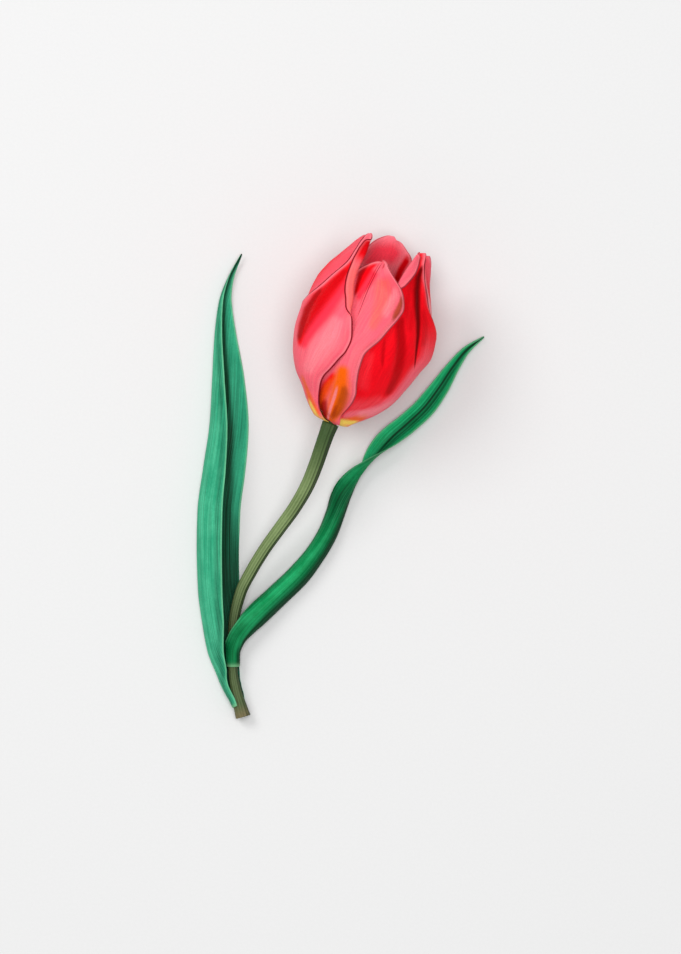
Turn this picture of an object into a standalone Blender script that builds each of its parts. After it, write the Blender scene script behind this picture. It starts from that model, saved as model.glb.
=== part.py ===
"""A cut tulip lying on a table: a bent stem with two leaves and one half-open flower.

Lengths in this file are millimetres, and each mesh is made in metres.
The flower points along +Y, and the table is the plane z = 0.
"""

import math

import bmesh
import bpy
import numpy as np
from mathutils import Matrix, Vector

MM = 0.001

# Thickness of the grown sheets
PETAL_THICKNESS = 0.60
LEAF_THICKNESS = 0.60

# Flower: base point, lean of its axis to the right of +Y, and its rise from the table
FLOWER_X = -3.7
FLOWER_Y = 22.1
FLOWER_Z = 26.0
FLOWER_LEAN_DEG = 21.0
FLOWER_RISE_DEG = 3.0

# Cup of the flower: height along its axis, then radius at the left, front, right and back
CUP = [
    (0.0, 2.8, 2.8, 2.8, 2.8),
    (0.5, 5.0, 5.2, 4.8, 5.2),
    (2.0, 7.4, 7.8, 6.8, 7.8),
    (5.0, 10.6, 11.0, 10.2, 11.0),
    (10.0, 14.6, 15.2, 15.2, 15.2),
    (16.0, 20.0, 20.0, 19.4, 20.0),
    (23.0, 23.6, 24.0, 22.2, 23.8),
    (31.0, 25.8, 27.0, 24.8, 26.4),
    (38.0, 26.6, 28.0, 26.9, 27.2),
    (45.0, 27.8, 27.6, 26.5, 26.8),
    (52.0, 27.2, 25.7, 24.2, 25.3),
    (59.0, 24.9, 22.8, 20.8, 22.6),
    (65.0, 21.6, 19.8, 17.2, 19.6),
    (71.0, 18.2, 17.0, 14.4, 16.8),
    (76.0, 15.8, 14.8, 12.6, 14.6),
    (80.0, 14.2, 13.4, 11.6, 13.0),
]

# Petals overlap like tiles: how far a lying-over margin stands out, and from what height
LAP_MM = 1.25
LAP_FULL_HEIGHT = 1.6

# Petal outlines: height, then the azimuths of the left and right margins in degrees
# Azimuth 0 faces up from the table, and 90 faces right
PETAL_LEFT = [
    (0.0, -83, -35),
    (0.8, -84, -36),
    (2.0, -92, -38),
    (4.0, -99, -39),
    (8.0, -105, -37),
    (12.0, -108, -33),
    (17.0, -109, -27),
    (21.0, -109, -20),
    (26.0, -107, -14),
    (30.0, -104, -10),
    (34.0, -99, -9),
    (39.0, -86, -11),
    (44.0, -68, -15),
    (49.0, -58, -19),
    (55.0, -51, -25),
    (62.0, -47, -30),
    (68.0, -50, -33),
    (72.0, -54, -39),
    (74.5, -55, -46),
    (75.8, -53, -51),
]
PETAL_FRONT = [
    (0.0, -24, 22),
    (0.8, -25, 22),
    (2.0, -34, 20),
    (4.0, -47, 17),
    (10.0, -48, 19),
    (14.0, -46, 17),
    (19.0, -43, 11),
    (25.0, -38, 7),
    (30.0, -36, 6),
    (39.0, -36, 14),
    (44.0, -37, 18),
    (49.0, -38, 23),
    (53.0, -38, 26),
    (57.0, -38, 24),
    (60.0, -37, 19),
    (62.0, -35, 12),
    (64.0, -31, 3),
    (66.0, -24, -4),
    (68.0, -12, -9),
]
PETAL_RIGHT = [
    (0.0, 37, 85),
    (0.8, 36, 86),
    (2.0, 26, 92),
    (4.0, 8, 98),
    (10.0, 6, 104),
    (19.0, -2, 108),
    (25.0, -6, 107),
    (30.0, -6, 106),
    (39.0, 0, 100),
    (47.0, 4, 88),
    (51.0, 6, 76),
    (56.0, 9, 63),
    (61.0, 14, 56),
    (67.0, 20, 51),
    (72.0, 29, 50),
    (75.0, 40, 51),
    (76.4, 48, 50),
]
PETAL_BACK_RIGHT = [
    (0.0, 97, 145),
    (0.8, 96, 146),
    (4.0, 80, 162),
    (10.0, 80, 166),
    (20.0, 84, 168),
    (30.0, 82, 168),
    (40.0, 76, 166),
    (47.0, 64, 162),
    (53.0, 50, 158),
    (60.0, 42, 148),
    (67.0, 39, 130),
    (71.0, 43, 112),
    (74.0, 53, 88),
    (76.0, 63, 67),
]
PETAL_BACK = [
    (0.0, 157, 205),
    (0.8, 156, 206),
    (4.0, 143, 222),
    (10.0, 140, 226),
    (20.0, 138, 228),
    (40.0, 138, 228),
    (55.0, 142, 225),
    (64.0, 148, 223),
    (69.0, 153, 220),
    (72.0, 159, 216),
    (74.5, 167, 209),
    (76.3, 178, 201),
    (77.2, 188, 192),
]
PETAL_BACK_LEFT = [
    (0.0, -143, -95),
    (0.8, -144, -94),
    (4.0, -158, -76),
    (10.0, -162, -80),
    (20.0, -164, -84),
    (32.0, -163, -76),
    (38.0, -162, -62),
    (44.0, -161, -48),
    (51.0, -158, -42),
    (57.0, -152, -40),
    (62.0, -143, -42),
    (67.0, -126, -47),
    (71.0, -104, -55),
    (74.0, -80, -62),
    (75.4, -69, -66),
]

# How far each margin lies over its neighbour: +1 over, -1 under, at the left and the right
PETALS = [
    ("petal_left", PETAL_LEFT, 1, 1),
    ("petal_front", PETAL_FRONT, -1, 1),
    ("petal_right", PETAL_RIGHT, -1, 1),
    ("petal_back_right", PETAL_BACK_RIGHT, -1, 1),
    ("petal_back", PETAL_BACK, -1, 1),
    ("petal_back_left", PETAL_BACK_LEFT, -1, -1),
]
PETAL_ROWS = 20
PETAL_COLUMNS = 10
# Where across a petal it starts to rise over its right-hand neighbour
LAP_RISE_FROM = 0.35
# Height step for the slope of the cup
SLOPE_STEP = 0.05

# Stem: x, y, z and radius of its centre line, from the cut end to the flower's neck
STEM = [
    (-39.2, -96.4, 3.1, 2.45),
    (-40.4, -91.8, 3.3, 2.15),
    (-42.0, -85.7, 3.5, 1.95),
    (-43.2, -77.7, 3.9, 1.85),
    (-43.4, -68.0, 4.5, 1.85),
    (-42.8, -58.0, 5.4, 2.05),
    (-39.9, -46.0, 7.2, 2.25),
    (-35.9, -38.0, 8.9, 2.35),
    (-30.5, -29.1, 11.2, 2.40),
    (-24.1, -20.2, 14.0, 2.50),
    (-18.4, -12.3, 16.9, 2.60),
    (-12.9, -2.6, 20.3, 2.75),
    (-9.7, 5.3, 22.8, 2.85),
    (-7.4, 12.0, 24.6, 2.90),
]
# Below and above the flower's base point, on its axis: distance and radius
STEM_HEAD = [(-5.0, 3.0), (-2.2, 3.2), (-0.75, 3.3), (-0.60, 2.35), (1.4, 2.3), (3.0, 2.1)]
STEM_STEPS = 26
STEM_SIDES = 14

# Leaves: keel x, y, z, half widths of the left and right lobes, the roll that turns the
# trough, and how steeply each lobe leaves the keel and ends, in degrees
LOWER_LEAF = [
    (-42.9, -92.4, 1.9, 3.2, 5.0, -58, 0, 62, 0, 92),
    (-44.2, -89.6, 1.8, 4.2, 6.2, -58, 10, 80, 10, 90),
    (-46.0, -87.0, 1.4, 5.6, 7.2, -58, 18, 88, 30, 82),
    (-47.6, -84.0, 0.9, 6.6, 8.0, -60, 24, 88, 46, 74),
    (-49.8, -78.8, 0.5, 9.2, 9.6, -60, 30, 90, 56, 64),
    (-53.2, -70.3, 0.4, 12.6, 12.4, -60, 33, 92, 59, 61),
    (-55.4, -59.0, 0.4, 15.6, 15.0, -60, 35, 96, 60, 60),
    (-57.2, -45.0, 0.4, 17.0, 16.4, -60, 36, 98, 60, 60),
    (-57.7, -28.0, 0.4, 17.6, 16.8, -60, 36, 98, 60, 60),
    (-57.4, -14.0, 0.4, 17.4, 17.0, -60, 36, 98, 60, 60),
    (-55.2, 3.0, 0.4, 16.2, 16.8, -60, 36, 96, 60, 60),
    (-52.4, 22.0, 0.4, 14.0, 15.4, -60, 33, 90, 60, 60),
    (-51.3, 40.0, 0.4, 10.8, 12.6, -59, 30, 86, 59, 59),
    (-50.4, 56.0, 0.5, 7.4, 8.8, -57, 30, 84, 58, 58),
    (-48.6, 70.0, 0.9, 4.6, 5.0, -54, 30, 78, 56, 56),
    (-44.8, 80.4, 1.5, 2.2, 2.0, -48, 30, 60, 50, 50),
    (-39.8, 89.6, 2.4, 0.3, 0.3, -40, 30, 40, 40, 40),
]
UPPER_LEAF = [
    (-43.2, -76.2, 6.50, 5.4, 5.4, 180, 0, 118, 0, 118),
    (-43.3, -71.0, 6.90, 5.6, 5.2, 180, 0, 116, 0, 112),
    (-42.0, -65.6, 7.80, 6.2, 3.6, 180, 6, 96, -10, 8),
    (-38.6, -60.4, 8.80, 7.0, 3.8, 180, 14, 84, -6, 12),
    (-33.8, -55.4, 8.90, 7.8, 5.6, 180, 20, 80, 14, 56),
    (-25.8, -47.8, 8.20, 8.6, 7.6, 180, 25, 84, 25, 82),
    (-17.0, -39.4, 7.60, 8.6, 8.0, 180, 25, 86, 25, 86),
    (-9.9, -30.6, 7.30, 8.0, 7.8, 180, 28, 88, 28, 88),
    (-4.9, -22.6, 7.00, 7.6, 7.6, 178, 28, 88, 28, 88),
    (-1.6, -15.6, 6.80, 7.2, 7.2, 172, 28, 86, 28, 86),
    (1.4, -9.2, 6.90, 6.8, 6.6, 156, 24, 70, 26, 76),
    (6.2, -1.8, 6.55, 6.4, 5.8, 122, 16, 50, 18, 56),
    (11.4, 4.9, 5.80, 5.8, 5.6, 86, 12, 42, 12, 42),
    (16.4, 10.8, 4.40, 5.4, 5.4, 48, 14, 42, 14, 42),
    (20.9, 16.0, 2.90, 5.1, 5.1, 16, 18, 44, 18, 44),
    (26.6, 21.3, 1.40, 5.0, 5.0, 0, 22, 44, 22, 44),
    (33.4, 27.8, 0.60, 5.0, 5.0, -4, 22, 44, 22, 44),
    (39.6, 36.0, 0.50, 4.4, 4.4, -6, 22, 44, 22, 44),
    (45.1, 44.2, 0.90, 3.0, 3.0, -4, 22, 40, 22, 40),
    (50.6, 51.0, 1.50, 1.7, 1.7, 0, 22, 34, 22, 34),
    (57.6, 56.3, 2.30, 0.3, 0.3, 0, 20, 20, 20, 20),
]
LOWER_LEAF_ROWS = 34
UPPER_LEAF_ROWS = 44
LOBE_COLUMNS = 5

# Pistil: height above the flower's base point and radius, then its three-lobed stigma
PISTIL = [(3.3, 2.0), (4.6, 2.7), (8.0, 3.1), (14.0, 3.0), (19.0, 2.4), (21.6, 2.0), (23.4, 1.6)]
PISTIL_SIDES = 12
PISTIL_LOBES = 3
PISTIL_LOBE_SHARE = 0.10
STIGMA_HEIGHT = 22.8
STIGMA_REACH = 1.9
STIGMA_LENGTH = 4.6
STIGMA_RADIUS = 1.3
STIGMA_SEGMENTS = 10
STIGMA_RINGS = 6

# Stamens: radius from the axis, height and thickness of the filament, then the anther
FILAMENT = [(3.30, 2.2, 0.70), (3.9, 4.4, 0.62), (5.0, 8.0, 0.52), (5.4, 10.0, 0.50)]
ANTHER = [(5.5, 10.4, 0.85), (5.9, 12.0, 1.20), (6.3, 17.0, 1.20), (6.6, 22.0, 0.95), (6.7, 23.4, 0.45)]
STAMEN_COUNT = 6
STAMEN_FIRST_DEG = 33.0
STAMEN_SIDES = 8

# Colour, roughness of each kind of sub-part
GREEN_LEAF = ((0.020, 0.190, 0.075, 1.0), 0.50)
GREEN_STEM = ((0.110, 0.160, 0.050, 1.0), 0.55)
RED_PETAL = ((0.760, 0.030, 0.045, 1.0), 0.45)
PALE_GREEN = ((0.420, 0.500, 0.160, 1.0), 0.50)
DARK_ANTHER = ((0.030, 0.015, 0.030, 1.0), 0.80)


def clear_scene():
    for obj in list(bpy.data.objects):
        bpy.data.objects.remove(obj, do_unlink=True)


def material(name, look):
    colour, roughness = look
    made = bpy.data.materials.new(f"{name}_look")
    made.use_nodes = True
    shader = made.node_tree.nodes["Principled BSDF"]
    shader.inputs["Base Color"].default_value = colour
    shader.inputs["Roughness"].default_value = roughness
    shader.inputs["Metallic"].default_value = 0.0
    return made


def slopes(xs, ys):
    """Slope at each row, flat where the values turn, so that a curve through them never overshoots."""
    steps = np.diff(xs)
    rates = np.diff(ys, axis=0) / steps[:, None]
    found = np.zeros_like(ys)
    found[0] = rates[0]
    found[-1] = rates[-1]
    for i in range(1, len(xs) - 1):
        before, after = rates[i - 1], rates[i]
        same = before * after > 0
        w1 = 2 * steps[i] + steps[i - 1]
        w2 = steps[i] + 2 * steps[i - 1]
        safe_before = np.where(same, before, 1.0)
        safe_after = np.where(same, after, 1.0)
        found[i] = np.where(same, (w1 + w2) / (w1 / safe_before + w2 / safe_after), 0.0)
    return found


def smooth_rows(xs, ys, wanted):
    """Values at the wanted places on a smooth curve through the rows."""
    xs = np.asarray(xs, float)
    ys = np.asarray(ys, float)
    rise = slopes(xs, ys)
    wanted = np.clip(np.asarray(wanted, float), xs[0], xs[-1])
    index = np.clip(np.searchsorted(xs, wanted, side="right") - 1, 0, len(xs) - 2)
    step = (xs[index + 1] - xs[index])[:, None]
    t = ((wanted - xs[index]) / step[:, 0])[:, None]
    return (
        (2 * t**3 - 3 * t**2 + 1) * ys[index]
        + (t**3 - 2 * t**2 + t) * step * rise[index]
        + (-2 * t**3 + 3 * t**2) * ys[index + 1]
        + (t**3 - t**2) * step * rise[index + 1]
    )


def along(points):
    """Distance along a row of points, from the first."""
    lengths = np.linalg.norm(np.diff(points, axis=0), axis=1)
    return np.concatenate([[0.0], np.cumsum(lengths)])


def smoothstep(x):
    x = np.clip(x, 0.0, 1.0)
    return x * x * (3 - 2 * x)


def flower_axes():
    """Base point, axis, right-hand side and front of the flower."""
    lean = math.radians(FLOWER_LEAN_DEG)
    rise = math.radians(FLOWER_RISE_DEG)
    flat = np.array([math.sin(lean), math.cos(lean), 0.0])
    up = np.array([0.0, 0.0, 1.0])
    axis = flat * math.cos(rise) + up * math.sin(rise)
    front = up * math.cos(rise) - flat * math.sin(rise)
    side = np.array([math.cos(lean), -math.sin(lean), 0.0])
    return np.array([FLOWER_X, FLOWER_Y, FLOWER_Z]), axis, side, front


def new_object(name, mesh, look):
    obj = bpy.data.objects.new(name, mesh)
    bpy.context.scene.collection.objects.link(obj)
    obj.data.materials.append(material(name, look))
    for face in obj.data.polygons:
        face.use_smooth = True
    return obj


def sheet(name, grid, thickness, look):
    """A grid of points made a thin closed sheet by a Solidify modifier."""
    rows, columns = grid.shape[:2]
    mesh = bpy.data.meshes.new(name)
    form = bmesh.new()
    corners = [[form.verts.new(Vector(p * MM)) for p in row] for row in grid]
    for i in range(rows - 1):
        for j in range(columns - 1):
            form.faces.new((corners[i][j], corners[i][j + 1], corners[i + 1][j + 1], corners[i + 1][j]))
    form.normal_update()
    form.to_mesh(mesh)
    form.free()
    obj = new_object(name, mesh, look)
    solid = obj.modifiers.new("thickness", "SOLIDIFY")
    solid.thickness = thickness * MM
    solid.offset = 0.0
    solid.use_rim = True
    return obj


def tube(name, points, radii, sides, look):
    """A round tapering rod along the points, as a curve with a bevel and filled caps."""
    curve = bpy.data.curves.new(name, "CURVE")
    curve.dimensions = "3D"
    curve.bevel_depth = MM
    curve.bevel_resolution = (sides - 4) // 2
    curve.use_fill_caps = True
    spline = curve.splines.new("POLY")
    spline.points.add(len(points) - 1)
    for point, place, radius in zip(spline.points, points, radii):
        x, y, z = place * MM
        point.co = (x, y, z, 1.0)
        point.radius = radius
    spline.use_smooth = True
    obj = bpy.data.objects.new(name, curve)
    bpy.context.scene.collection.objects.link(obj)
    obj.data.materials.append(material(name, look))
    return obj


def cup_radius(heights, azimuth):
    """Radius of the cup at each height, for an azimuth in radians."""
    table = np.array(CUP)
    radii = smooth_rows(table[:, 0], table[:, 1:], heights)
    left, front, right, back = radii.T
    side = right if math.sin(azimuth) > 0 else left
    face = front if math.cos(azimuth) > 0 else back
    return side * math.sin(azimuth) ** 2 + face * math.cos(azimuth) ** 2


def petal_heights(outline, rows):
    """Heights of the rows of a petal, evenly spaced along the middle of its cup."""
    fine = np.linspace(outline[0][0], outline[-1][0], 400)
    _, left, right = outline[len(outline) // 2]
    profile = np.stack([fine, cup_radius(fine, math.radians((left + right) / 2))], axis=1)
    length = along(profile)
    return np.interp(np.linspace(0, length[-1], rows), length, fine)


def petal_grid(outline, left_lap, right_lap, rows, columns):
    """Points of a petal, row by row from its base and from its left margin to its right."""
    base, axis, side, front = flower_axes()
    heights = petal_heights(outline, rows)
    table = np.array(outline, float)
    margins = np.radians(smooth_rows(table[:, 0], table[:, 1:], heights))
    grid = np.zeros((rows, columns, 3))
    for j in range(columns):
        t = j / (columns - 1)
        azimuths = margins[:, 0] * (1 - t) + margins[:, 1] * t
        lap = left_lap + (right_lap - left_lap) * smoothstep((t - LAP_RISE_FROM) / (1 - LAP_RISE_FROM))
        for i in range(rows):
            height, azimuth = heights[i], azimuths[i]
            nearby = np.array([height - SLOPE_STEP, height, height + SLOPE_STEP])
            radii = cup_radius(nearby, azimuth)
            slope = (radii[2] - radii[0]) / (2 * SLOPE_STEP)
            normal = np.array([1.0, -slope]) / math.hypot(1.0, slope)
            offset = lap * LAP_MM * smoothstep(height / LAP_FULL_HEIGHT)
            radius = radii[1] + normal[0] * offset
            lift = height + normal[1] * offset
            outward = side * math.sin(azimuth) + front * math.cos(azimuth)
            grid[i, j] = base + axis * lift + outward * radius
    return grid


def lobe(width, start, end, columns):
    """Offsets of a lobe's points from the keel: outwards, and up into the trough."""
    steps = np.linspace(0, 1, columns + 1)
    middle = (steps[1:] + steps[:-1]) / 2
    angles = np.radians(start + (end - start) * middle)
    step = width / columns
    return np.cumsum(np.cos(angles)) * step, np.cumsum(np.sin(angles)) * step


def leaf_grid(table, rows):
    """Points of a leaf, row by row from its base and from its left margin to its right."""
    table = np.array(table, float)
    length = along(table[:, :3])
    wanted = np.linspace(0, length[-1], rows)
    values = smooth_rows(length, table[:, :3], wanted)
    forms = smooth_rows(length, table[:, 3:], wanted)
    grid = np.zeros((rows, 2 * LOBE_COLUMNS + 1, 3))
    tangents = np.gradient(values, axis=0)
    for i in range(rows):
        left_width, right_width, roll, left_start, left_end, right_start, right_end = forms[i]
        ahead = tangents[i] / np.linalg.norm(tangents[i])
        sideways = np.cross(ahead, [0.0, 0.0, 1.0])
        sideways /= np.linalg.norm(sideways)
        up = np.cross(sideways, ahead)
        turn = math.radians(roll)
        across = sideways * math.cos(turn) + up * math.sin(turn)
        open_way = up * math.cos(turn) - sideways * math.sin(turn)
        left_out, left_up = lobe(left_width, left_start, left_end, LOBE_COLUMNS)
        right_out, right_up = lobe(right_width, right_start, right_end, LOBE_COLUMNS)
        grid[i, LOBE_COLUMNS] = values[i]
        for k in range(LOBE_COLUMNS):
            grid[i, LOBE_COLUMNS - 1 - k] = values[i] - across * left_out[k] + open_way * left_up[k]
            grid[i, LOBE_COLUMNS + 1 + k] = values[i] + across * right_out[k] + open_way * right_up[k]
    return grid


def add_stem():
    base, axis, _, _ = flower_axes()
    rows = [list(row) for row in STEM]
    rows += [list(base + axis * lift) + [radius] for lift, radius in STEM_HEAD[:1]]
    table = np.array(rows)
    length = along(table[:, :3])
    curve = smooth_rows(length, table, np.linspace(0, length[-1], STEM_STEPS))
    head = np.array([list(base + axis * lift) + [radius] for lift, radius in STEM_HEAD[1:]])
    curve = np.concatenate([curve, head])
    tube("stem", curve[:, :3], curve[:, 3], STEM_SIDES, GREEN_STEM)


def add_pistil():
    """A turned ovary with three stigma arms, joined into one body."""
    base, axis, side, front = flower_axes()
    form = bmesh.new()
    rings = []
    for height, radius in PISTIL:
        ring = []
        for k in range(PISTIL_SIDES):
            angle = 2 * math.pi * k / PISTIL_SIDES
            lobed = radius * (1 + PISTIL_LOBE_SHARE * math.cos(PISTIL_LOBES * angle))
            outward = side * math.sin(angle) + front * math.cos(angle)
            ring.append(form.verts.new(Vector((base + axis * height + outward * lobed) * MM)))
        rings.append(ring)
    for low, high in zip(rings, rings[1:]):
        for k in range(PISTIL_SIDES):
            after = (k + 1) % PISTIL_SIDES
            form.faces.new((low[k], low[after], high[after], high[k]))
    form.faces.new(rings[0][::-1])
    form.faces.new(rings[-1])
    bmesh.ops.recalc_face_normals(form, faces=form.faces)
    mesh = bpy.data.meshes.new("pistil")
    form.to_mesh(mesh)
    form.free()
    pistil = new_object("pistil", mesh, PALE_GREEN)
    for k in range(PISTIL_LOBES):
        angle = 2 * math.pi * k / PISTIL_LOBES
        outward = side * math.sin(angle) + front * math.cos(angle)
        arm = base + axis * STIGMA_HEIGHT + outward * STIGMA_REACH
        bpy.ops.mesh.primitive_uv_sphere_add(
            segments=STIGMA_SEGMENTS, ring_count=STIGMA_RINGS, radius=1.0
        )
        ball = bpy.context.object
        ball.name = f"stigma_arm_{k + 1}"
        turn = Vector(outward).to_track_quat("Z", "Y").to_matrix().to_4x4()
        ball.data.transform(turn @ scale_matrix(STIGMA_RADIUS, STIGMA_RADIUS, STIGMA_LENGTH / 2))
        ball.location = Vector(arm * MM)
        ball.hide_render = True
        ball.display_type = "WIRE"
        join = pistil.modifiers.new(ball.name, "BOOLEAN")
        join.operation = "UNION"
        join.object = ball


def scale_matrix(x, y, z):
    """A scaling given in millimetres, for a ball of radius one metre."""
    return Matrix.Diagonal((x * MM, y * MM, z * MM, 1.0))


def add_stamens():
    base, axis, side, front = flower_axes()
    for k in range(STAMEN_COUNT):
        angle = math.radians(STAMEN_FIRST_DEG + 360 * k / STAMEN_COUNT)
        outward = side * math.sin(angle) + front * math.cos(angle)
        rows = FILAMENT + ANTHER
        points = [base + axis * height + outward * radius for radius, height, _ in rows]
        radii = [thickness for _, _, thickness in rows]
        tube(f"stamen_{k + 1}", points, radii, STAMEN_SIDES, DARK_ANTHER)


def main():
    clear_scene()
    add_stem()
    for name, outline, left_lap, right_lap in PETALS:
        grid = petal_grid(outline, left_lap, right_lap, PETAL_ROWS, PETAL_COLUMNS)
        sheet(name, grid, PETAL_THICKNESS, RED_PETAL)
    sheet("lower_leaf", leaf_grid(LOWER_LEAF, LOWER_LEAF_ROWS), LEAF_THICKNESS, GREEN_LEAF)
    sheet("upper_leaf", leaf_grid(UPPER_LEAF, UPPER_LEAF_ROWS), LEAF_THICKNESS, GREEN_LEAF)
    add_pistil()
    add_stamens()


main()
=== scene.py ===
"""Looks of a cut tulip lying on a table: petals, leaves, stem, pistil and stamens.

Lengths are millimetres unless a comment says metres, and each mesh is made in metres.
A point on the flower has a height along the flower's axis and an azimuth round it,
0 where it faces up from the table and 90 where it faces right.
"""

import math

import bpy
import numpy as np
from mathutils import Matrix


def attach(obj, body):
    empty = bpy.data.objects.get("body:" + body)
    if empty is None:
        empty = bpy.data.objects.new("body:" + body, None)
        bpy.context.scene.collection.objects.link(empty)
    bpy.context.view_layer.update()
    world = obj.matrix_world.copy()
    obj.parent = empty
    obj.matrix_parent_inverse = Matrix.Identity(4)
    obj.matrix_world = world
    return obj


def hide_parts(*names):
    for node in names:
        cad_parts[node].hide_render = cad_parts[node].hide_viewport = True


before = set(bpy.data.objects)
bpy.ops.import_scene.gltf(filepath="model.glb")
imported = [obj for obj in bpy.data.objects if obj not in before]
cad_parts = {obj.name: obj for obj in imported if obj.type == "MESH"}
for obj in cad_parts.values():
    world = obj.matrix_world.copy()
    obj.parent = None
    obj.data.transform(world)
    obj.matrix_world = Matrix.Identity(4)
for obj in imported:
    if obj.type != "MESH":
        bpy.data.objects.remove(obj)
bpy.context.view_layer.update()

MM = 0.001

# Picture: its height and the real size of a pixel. Camera: distance above the height that it
# frames exactly, and its sensor
PICTURE_HEIGHT_PX = 954
PIXEL_MM = 0.40
CAMERA_DISTANCE = 5000.0
CAMERA_FOCUS_HEIGHT = 25.0
SENSOR_MM = 36.0

# In metres and watts. Lamps: name, place, diameter and power
CAMERA_SEES_TO = 20.0
LAMPS = [("overhead", (0.1, 0.1, 2.0), 1.2, 22.0), ("window", (-1.1, 0.95, 1.5), 1.0, 15.0)]
SURROUND_STRENGTH = 0.48
FLOOR_HALF = 4.0

# Flower: base point, lean of its axis to the right of +Y, and its rise from the table
FLOWER_BASE = np.array([-3.7, 22.1, 26.0])
FLOWER_LEAN_DEG = 21.0
FLOWER_RISE_DEG = 3.0

# Cup of the flower: height along its axis, then radius at the left, front, right and back
CUP = [
    (0, 2.8, 2.8, 2.8, 2.8),
    (0.5, 5, 5.2, 4.8, 5.2),
    (2, 7.4, 7.8, 6.8, 7.8),
    (5, 10.6, 11, 10.2, 11),
    (10, 14.6, 15.2, 15.2, 15.2),
    (16, 20, 20, 19.4, 20),
    (23, 23.6, 24, 22.2, 23.8),
    (31, 25.8, 27, 24.8, 26.4),
    (38, 26.6, 28, 26.9, 27.2),
    (45, 27.8, 27.6, 26.5, 26.8),
    (52, 27.2, 25.7, 24.2, 25.3),
    (59, 24.9, 22.8, 20.8, 22.6),
    (65, 21.6, 19.8, 17.2, 19.6),
    (71, 18.2, 17, 14.4, 16.8),
    (76, 15.8, 14.8, 12.6, 14.6),
    (80, 14.2, 13.4, 11.6, 13),
]
# Steps in which the cup's slope and the length of its profile are measured
SLOPE_STEP = 0.05
PROFILE_STEPS = 400

# Petals overlap like tiles: how far a lying-over margin stands out, from what height it does so
# fully, its share at the base, and the share of the width past which the right margin decides
LAP_MM = 1.25
LAP_FULL_HEIGHT = 1.6
LAP_AT_BASE = 0.3
LAP_RISE_FROM = 0.35

# Petal outlines: height, then the azimuths of the left and right margins in degrees
OUTLINES = {
    "petal_left": [
        (0, -92, -22), (0.8, -94, -24), (2, -98, -30), (4, -99, -39), (8, -105, -37),
        (12, -108, -33), (17, -109, -27), (21, -109, -20), (26, -107, -14), (30, -104, -10),
        (34, -99, -9), (39, -86, -11.5), (44, -68, -16.5), (49, -58, -19), (55, -51, -25),
        (62, -47, -30), (68, -50, -33), (72, -53.5, -38), (74.2, -54, -41.5), (75, -53, -43),
        (75.5, -51.5, -45), (75.7, -50.3, -46.5), (75.8, -49, -48),
    ],
    "petal_front": [
        (0, -38, 34), (0.8, -42, 32), (2, -53, 24), (4, -57, 17), (10, -50, 19), (14, -46, 17),
        (19, -43, 11), (25, -38, 7), (30, -36, 6), (39, -36, 14), (44, -37, 18), (49, -38, 23),
        (53, -38, 26), (57, -38, 24), (60, -37, 19), (62, -35, 12), (64, -31.5, 5), (66, -26, -1.5),
        (67.2, -21, -5), (67.8, -17, -8), (68, -14, -11),
    ],
    "petal_right": [
        (0, 22, 96), (0.8, 20, 98), (2, 14, 98), (4, 8, 98), (10, 6, 104), (19, -2, 108),
        (25, -6, 107), (30, -6, 106), (39, 0, 100), (47, 4, 88), (51, 6, 76), (56, 9, 63),
        (61, 14, 56), (67, 20, 51), (72, 29, 50.5), (74.6, 36, 52), (75.6, 40.5, 52),
        (76.1, 43.5, 51), (76.4, 46.5, 49.5),
    ],
    "petal_back_right": [
        (0, 84, 156), (0.8, 82, 158), (4, 80, 162), (10, 80, 166), (20, 84, 168), (30, 82, 168),
        (40, 76, 166), (47, 64, 162), (53, 50, 158), (60, 42, 148), (65, 39, 132), (69, 43, 112),
        (71.5, 48, 94), (73.6, 53, 81), (75, 58, 73), (75.5, 61, 70), (75.8, 64, 67),
    ],
    "petal_back": [
        (0, 146, 216), (0.8, 144, 218), (4, 143, 222), (10, 140, 226), (20, 138, 228),
        (40, 138, 228), (55, 142, 225), (64, 148, 223), (69, 150, 220), (72, 152, 216.5),
        (73.4, 156, 214), (74.6, 163, 210.5), (76, 171, 205), (76.8, 176.5, 200.5),
        (77.1, 181, 196), (77.2, 185, 192),
    ],
    "petal_back_left": [
        (0, -154, -84), (0.8, -156, -82), (4, -158, -76), (10, -162, -80), (20, -164, -84),
        (32, -163, -76), (38, -162, -62), (44, -161, -48), (51, -158, -42), (57, -152, -40),
        (62, -143, -42), (67, -126, -47), (71, -104, -55), (74, -82, -60), (75, -76, -62),
        (75.4, -71, -65),
    ],
}

# How far each margin lies over its neighbour: +1 over, -1 under, at the left and the right
LAPS = {
    "petal_left": (1, 1), "petal_front": (-1, 1), "petal_right": (-1, 1),
    "petal_back_right": (-1, 1), "petal_back": (-1, 1), "petal_back_left": (-1, -1),
}

# Margins that roll outwards and back over the petal: the side, then height, width of the
# rolled strip and radius of the roll
LEFT, RIGHT = -1, 1
ROLLED_MARGINS = {
    "petal_left": (RIGHT, [
        (0, 0, 0.6), (39, 0, 0.6), (41.5, 0.25, 0.6), (43.5, 0.6, 0.6), (45.3, 0.95, 0.6),
        (48.2, 1.7, 0.7), (52, 2.2, 0.8), (57, 2.2, 0.8), (61.3, 2.1, 0.8), (64.2, 2.3, 0.8),
        (68, 2.2, 0.8), (71, 1.4, 0.7), (73, 0.6, 0.5), (74.4, 0.1, 0.4), (75.8, 0, 0.4),
    ]),
    "petal_right": (LEFT, [
        (0, 0, 0.6), (57.5, 0, 0.6), (60.5, 1, 0.6), (62.7, 2, 0.65), (68.4, 2.8, 0.7),
        (72, 2.1, 0.6), (74.5, 1, 0.5), (75.8, 0.2, 0.4), (76.4, 0, 0.4),
    ]),
}
ROLL_FULL_WIDTH = 1.2
ROLL_TURN_DEG = 172.0
ROLL_STRIP = 0.35
ROLL_COLUMNS = 18

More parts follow.
